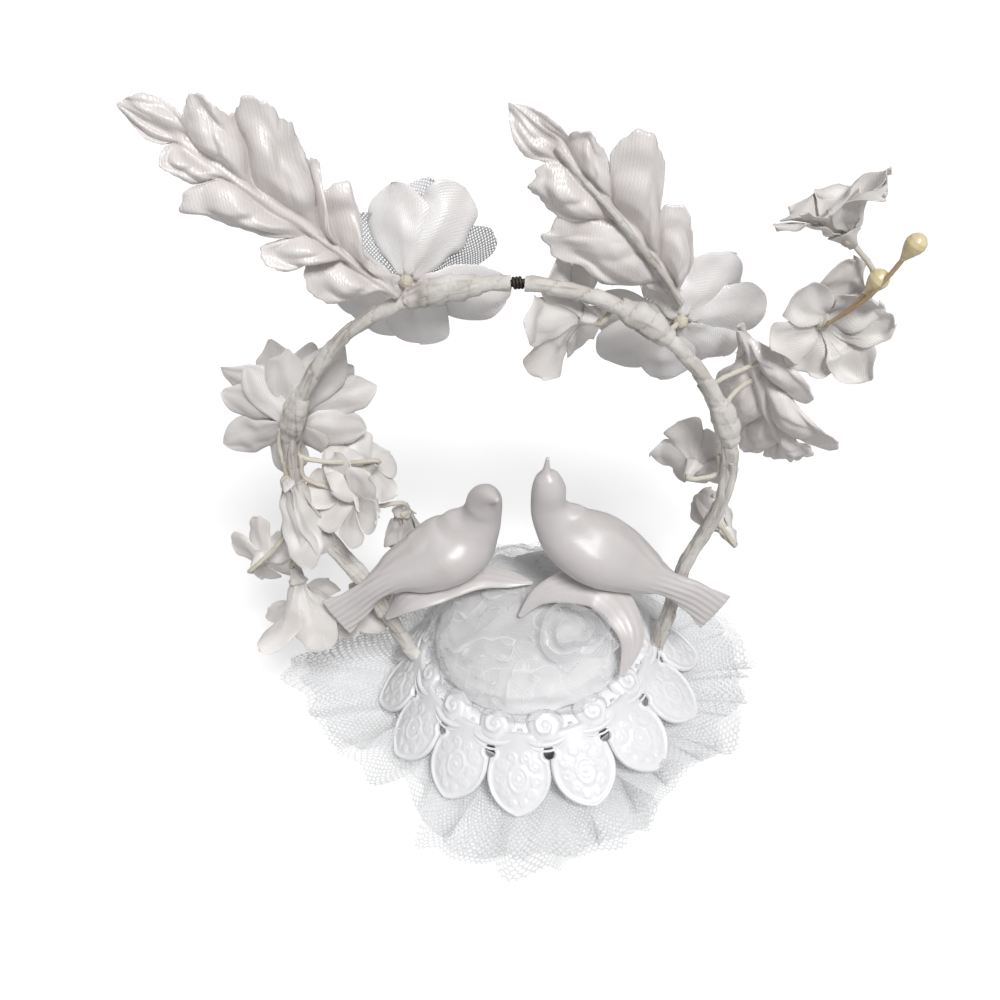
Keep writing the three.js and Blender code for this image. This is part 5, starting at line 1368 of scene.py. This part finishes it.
# Petal outlines: half widths along the petal, from its root to its tip
outlines = {
    "round": [0.24, 0.44, 0.68, 0.88, 0.98, 1.0, 0.97, 0.88, 0.7],
    "point": [0.26, 0.44, 0.66, 0.86, 0.97, 0.97, 0.86, 0.62, 0.34],
    "small": [0.24, 0.4, 0.62, 0.84, 0.97, 1.0, 1.0, 0.94, 0.8]}


def petal_sheet(angle, share, shape, seed):
    """One petal in its flower's own axes: points, faces, flat cut and crease marks."""
    steps, across = shape.get("steps", 26), shape.get("across", 15)
    own = np.random.default_rng(seed)
    s = 1 - (1 - np.linspace(0, 1, steps)) ** 1.35
    v = np.sin(np.linspace(-1, 1, across) * math.pi / 2)
    S, V = grid(s, v)
    half = smooth_stations(outlines[shape["outline"]], 200)[:, 0]
    half = np.interp(S, np.linspace(0, 1, 200), np.clip(half, 0, None))
    half = half * np.sqrt(np.clip(1 - ramp(S, 0.74, 0.26) ** 2, 0, 1))
    half = half * shape["width"] / 2 * (0.85 + 0.15 * share) * own.uniform(0.92, 1.08)
    half = half * (1 + 0.04 * np.sin(S * 17 + own.uniform(0, 6)) * S)
    reach = (shape["length"] - petal_root + 0.8) * share
    bend = shape["bend"] + math.radians(own.uniform(-9, 9))
    lift = shape["lift"] + math.radians(own.uniform(-4, 4))
    bend = bend if abs(bend) > 1e-3 else 1e-3
    tilt = lift + bend * S
    run = reach * (np.sin(tilt) - math.sin(lift)) / bend
    rise = reach * (math.cos(lift) - np.cos(tilt)) / bend
    cup = shape["cup"] * half * V ** 2 * np.sin(math.pi * np.clip(S, 0, 1) ** 0.8)
    ribs = shape["ribs"] * np.cos(V * 2.4 * math.pi + own.uniform(-0.5, 0.5)) * np.sin(math.pi * S)
    keel = -shape["ribs"] * 1.3 * hump(V, 0, 0.16) * (1 - S ** 2)
    frill = shape["frill"] * V * np.sin(5 * S + own.uniform(0, 6)) * S
    twist = math.radians(own.uniform(-16, 16)) * S
    side = V * half
    off = cup + ribs + keel + frill
    across_mm = side * np.cos(twist) - off * np.sin(twist)
    over_mm = side * np.sin(twist) + off * np.cos(twist)
    radius = petal_root - 1.15 + run - over_mm * np.sin(tilt)
    height = shape.get("back", 0.0) + rise + over_mm * np.cos(tilt) + shape["stagger"] * own.uniform(-1, 1)
    a = math.radians(angle)
    x = radius * math.cos(a) - across_mm * math.sin(a)
    y = radius * math.sin(a) + across_mm * math.cos(a)
    # Painted shade down the petal's middle and at its root
    crease = 0.5 * hump(V, 0, 0.1) * (1 - S) + 0.25 * np.exp(-S / 0.12)
    cut = np.stack([reach * S + seed * 3.1, side], -1).reshape(-1, 2)
    return spots_of(x, y, height), grid_faces(steps, across), cut, crease.ravel()


def flower_layer(name, node, pose, petals, shape, finish, neck=0.0):
    """One layer of a flower: all its petals, with a pinched neck of cloth where it has one."""
    basis, head = pose
    points, faces, cut, crease = [], [], [], []
    count = 0
    for i, (angle, share) in enumerate(petals):
        p, f, c, k = petal_sheet(angle, share, shape, shape["seed"] + i)
        points.append(p)
        faces += [[n + count for n in face] for face in f]
        cut.append(c)
        crease.append(k)
        count += len(p)
    if neck:
        around, steps = 25, 9
        T, U = grid(np.linspace(0, 2 * math.pi, around), np.linspace(0, 1, steps))
        radius = 0.75 + (petal_root - 0.1 - 0.75) * (1 - U) ** 1.5 * (1 + 0.12 * np.cos(5 * T))
        p = spots_of(radius * np.cos(T), radius * np.sin(T), neck * U - 0.3)
        points.append(p)
        faces += [[n + count for n in face] for face in grid_faces(around, steps)]
        cut.append(np.stack([T * 1.6, neck * U], -1).reshape(-1, 2))
        # Painted shade in the neck's pleats, deeper toward its narrow end
        crease.append((0.35 * U + 0.2 * (np.cos(5 * T) < 0)).ravel())
        count += len(p)
    spots = crushed(np.concatenate(points), shape.get("crush", 0.5), 5.0, shape["seed"] % 17)
    layer = piece_of(name, spots @ basis.T + head, faces, finish,
                     np.concatenate(cut), {"crease": np.concatenate(crease)})
    tidied(layer, False)
    if finish is not silver_mesh:
        thickened(layer, petal_thickness)
    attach(layer, "root")
    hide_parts(node)


deg = math.radians
satin_shape = dict(length=22, width=13.2, lift=deg(-4), bend=deg(-34), cup=-0.42, ribs=0.3, frill=0.3,
                   stagger=0.5, outline="round", seed=11, crush=0.9)
mesh_shape = dict(length=20.5, width=11.5, lift=deg(-26), bend=deg(-10), cup=-0.22, ribs=0.1,
                  frill=0.6, stagger=0.2, outline="round", seed=31, back=-1.3)
star_shape = dict(length=20, width=9.6, lift=deg(-8), bend=deg(-20), cup=-0.42, ribs=0.32, frill=0.4,
                  stagger=0.7, outline="point", seed=53, crush=0.9)
inner_star = dict(star_shape, lift=deg(-32), bend=deg(10), back=-1.3, seed=71, width=10.5)
large_flowers = {
    "flower_left": [
        ("satin", satin_shape, flower_satin, [
            (92, 0.9), (48, 1.05), (-32, 1.1), (-92, 0.88), (-131, 1.02), (-167, 1.02)]),
        ("mesh", mesh_shape, silver_mesh, [(69, 1), (5, 1.05), (-58, 0.95), (-112, 0.8), (130, 0.8)])],
    "flower_side": [
        ("satin", star_shape, soft_satin, [
            (-156, 1.1), (163, 0.92), (122, 0.8), (82, 0.9), (47, 1.15), (9, 1.08), (-26, 0.95),
            (-66, 0.6), (-108, 0.92)]),
        ("inner", inner_star, soft_satin, [
            (146, 1), (102, 0.9), (64, 0.9), (28, 0.95), (-66, 0.9), (-150, 0.8)])],
    "flower_right": [
        ("satin", dict(satin_shape, seed=97), flower_satin, [
            (-143, 1), (-172, 0.95), (-104, 0.85), (-58, 0.9), (-6, 0.9), (44, 0.8), (100, 0.7)]),
        ("mesh", dict(mesh_shape, seed=113), silver_mesh, [
            (-157, 1), (-124, 0.95), (-80, 0.85), (-30, 0.85), (18, 0.8), (110, 0.6)])]}
for name, layers in large_flowers.items():
    for layer, shape, finish, petals in layers:
        flower_layer(f"{name}_{layer}_petals", f"{name}_{layer}", heads[name][0], petals, shape,
                     finish)

# Blossoms: small flowers of thinner satin with a pinched neck, moulded into trumpets, cups and a
# hanging bell. Damp and handling have closed and softened some of them.

blossom_satin = satin_finish("thin_satin_blossom", "#F4F2F0", "#E1DCD8", weave=0.3, gloss=0.38, sheer=0.2)


def even_petals(count, start):
    """Petals of one size at even angles round a flower."""
    return [(start + 360 * k / count, 1.0) for k in range(count)]


trumpet = dict(length=13.5, width=9.5, lift=deg(-40), bend=deg(40), cup=-0.3, ribs=0.22, frill=0.9,
               stagger=0.3, outline="small", seed=131, crush=1.6)
blossom = dict(length=11.5, width=8.4, lift=deg(-34), bend=deg(26), cup=-0.3, ribs=0.16, frill=0.7,
               stagger=0.2, outline="small", seed=151, steps=18, across=13, crush=1.3)
closed = dict(blossom, length=14, width=8.6, lift=deg(-72), bend=deg(-4), cup=-0.5)
face_shape = dict(length=13.5, width=9.8, lift=deg(12), bend=deg(16), cup=0.22, ribs=0.3, frill=0.9,
                  stagger=0.5, outline="small", seed=171, crush=1.8)
bell = dict(length=24, width=10, lift=deg(-72), bend=deg(-8), cup=-0.5, ribs=0.35, frill=0.6,
            stagger=0.3, outline="round", seed=191, crush=1.2)
blossoms = {
    "blossom_crown": (dict(trumpet, length=16, width=11, seed=133), even_petals(5, 18)),
    "blossom_far": (dict(trumpet, lift=deg(-66), bend=deg(58), length=15, seed=139, crush=2.6),
                    even_petals(6, 30)),
    "blossom_right": (face_shape, [
        (-2, 1.08), (-52, 1.15), (72, 1.25), (34, 0.9), (-104, 0.9), (-160, 0.85), (120, 0.9)]),
    "bell_upper": (bell, even_petals(5, 20)),
    "blossom_inner_a": (dict(blossom, seed=211), even_petals(6, 10)),
    "blossom_inner_b": (dict(blossom, seed=223), even_petals(6, 50)),
    "blossom_inner_c": (dict(closed, seed=237), even_petals(5, 90)),
    "blossom_low_a": (dict(blossom, seed=241), even_petals(5, 30)),
    "blossom_low_b": (dict(blossom, lift=deg(-76), bend=deg(66), length=21, width=9, cup=-0.5, seed=257),
                      even_petals(5, 54)),
    "blossom_low_c": (dict(blossom, lift=deg(-50), bend=deg(44), seed=263), even_petals(5, -18)),
    "blossom_low_d": (dict(closed, length=12, seed=271), even_petals(5, 20)),
    "blossom_right_a": (dict(blossom, seed=283), even_petals(5, 40)),
    "blossom_right_b": (dict(closed, length=13, seed=293), even_petals(5, 10))}
for name, (shape, petals) in blossoms.items():
    pose, neck = heads[name]
    flower_layer(f"{name}_satin_petals", f"{name}_petals", pose, petals, shape, blossom_satin,
                 neck=4.2 if neck else 2.4)

# Stamens: two waxed threads from the middle of the right blossom, each dipped at its end in pearly
# wax that has dried to a drop.

stamen_root = (0.69, 0.01, 0.865)
stamen_thread, bud_radius, bud_reach = 0.42, 2.05, 2.1
stamens = {
    "stamen_upper": ((0.832, -0.045, 1.03), (0.76, -0.03, 0.935)),
    "stamen_lower": ((0.777, -0.02, 0.96), (0.735, -0.005, 0.905))}

# Waxed thread: beige, with browner patches of dye
waxed_thread, tree = new_finish("waxed_stamen_thread")
place = add(tree, "ShaderNodeTexCoord").outputs["Object"]
tint = add(tree, "ShaderNodeTexNoise", {"Scale": 160.0, "Detail": 3.0, "Vector": place})
lap = add(tree, "ShaderNodeAttribute", {"attribute_name": "lap"})
colour = add(tree, "ShaderNodeMix", {"data_type": "RGBA", 0: tint, 6: "#C9B493", 7: "#9A7B5C"})
bump = add(tree, "ShaderNodeBump", {"Strength": 0.3, "Distance": 0.0001, "Height": lap.outputs["Fac"]})
thread = add(tree, "ShaderNodeBsdfPrincipled", {
    "Roughness": 0.5, "Base Color": colour.outputs[2], "Normal": bump})
add(tree, "ShaderNodeOutputMaterial", {"Surface": thread})

# Pearly wax: pale yellow, glossy, slightly see-through, with small drips in its skin
pearl_wax, tree = new_finish("pearl_wax")
place = add(tree, "ShaderNodeTexCoord").outputs["Object"]
drip = add(tree, "ShaderNodeTexNoise", {"Scale": 620.0, "Detail": 2.0, "Vector": place})
colour = add(tree, "ShaderNodeMix", {"data_type": "RGBA", 0: drip, 6: "#EADFB9", 7: "#D2BE8C"})
bump = add(tree, "ShaderNodeBump", {"Strength": 0.35, "Distance": 0.0003, "Height": drip})
wax = add(tree, "ShaderNodeBsdfPrincipled", {
    "Roughness": 0.28, "Subsurface Weight": 0.25, "Subsurface Radius": (1, 0.8, 0.5),
    "Subsurface Scale": 0.001, "Coat Weight": 0.2, "Base Color": colour.outputs[2], "Normal": bump})
add(tree, "ShaderNodeOutputMaterial", {"Surface": wax})
bud_shares = [(-1.9, 0.26), (-1.5, 0.42), (-1.0, 0.66), (-0.5, 0.88), (0, 1.0), (0.5, 0.86),
              (0.85, 0.5), (0.98, 0.16)]
for name, (at, through) in stamens.items():
    line = curve_through([in_wreath(s) for s in (stamen_root, through, at)], 0.5)
    thread = taped(f"{name}_thread", line, stamen_thread, waxed_thread,
                   np.linspace(0.85, 1.15, len(line)), tape=1.4, lap=0.05, lump=0.12, size=500.0, sides=9)
    aim = unit(in_wreath(at) - in_wreath(through))
    reach = np.array([s[0] for s in bud_shares]) * bud_reach
    drop = curve_through([in_wreath(at) + aim * r for r in reach], 0.12)
    gone = (drop - in_wreath(at)) @ aim
    girth = np.interp(gone, reach, [s[1] for s in bud_shares])
    bud = taped(f"{name}_wax_bud", drop, bud_radius, pearl_wax, girth, lap=0.0, lump=0.3, size=340.0,
                sides=24)
    for piece in (thread, bud):
        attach(piece, "root")
        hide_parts(name)
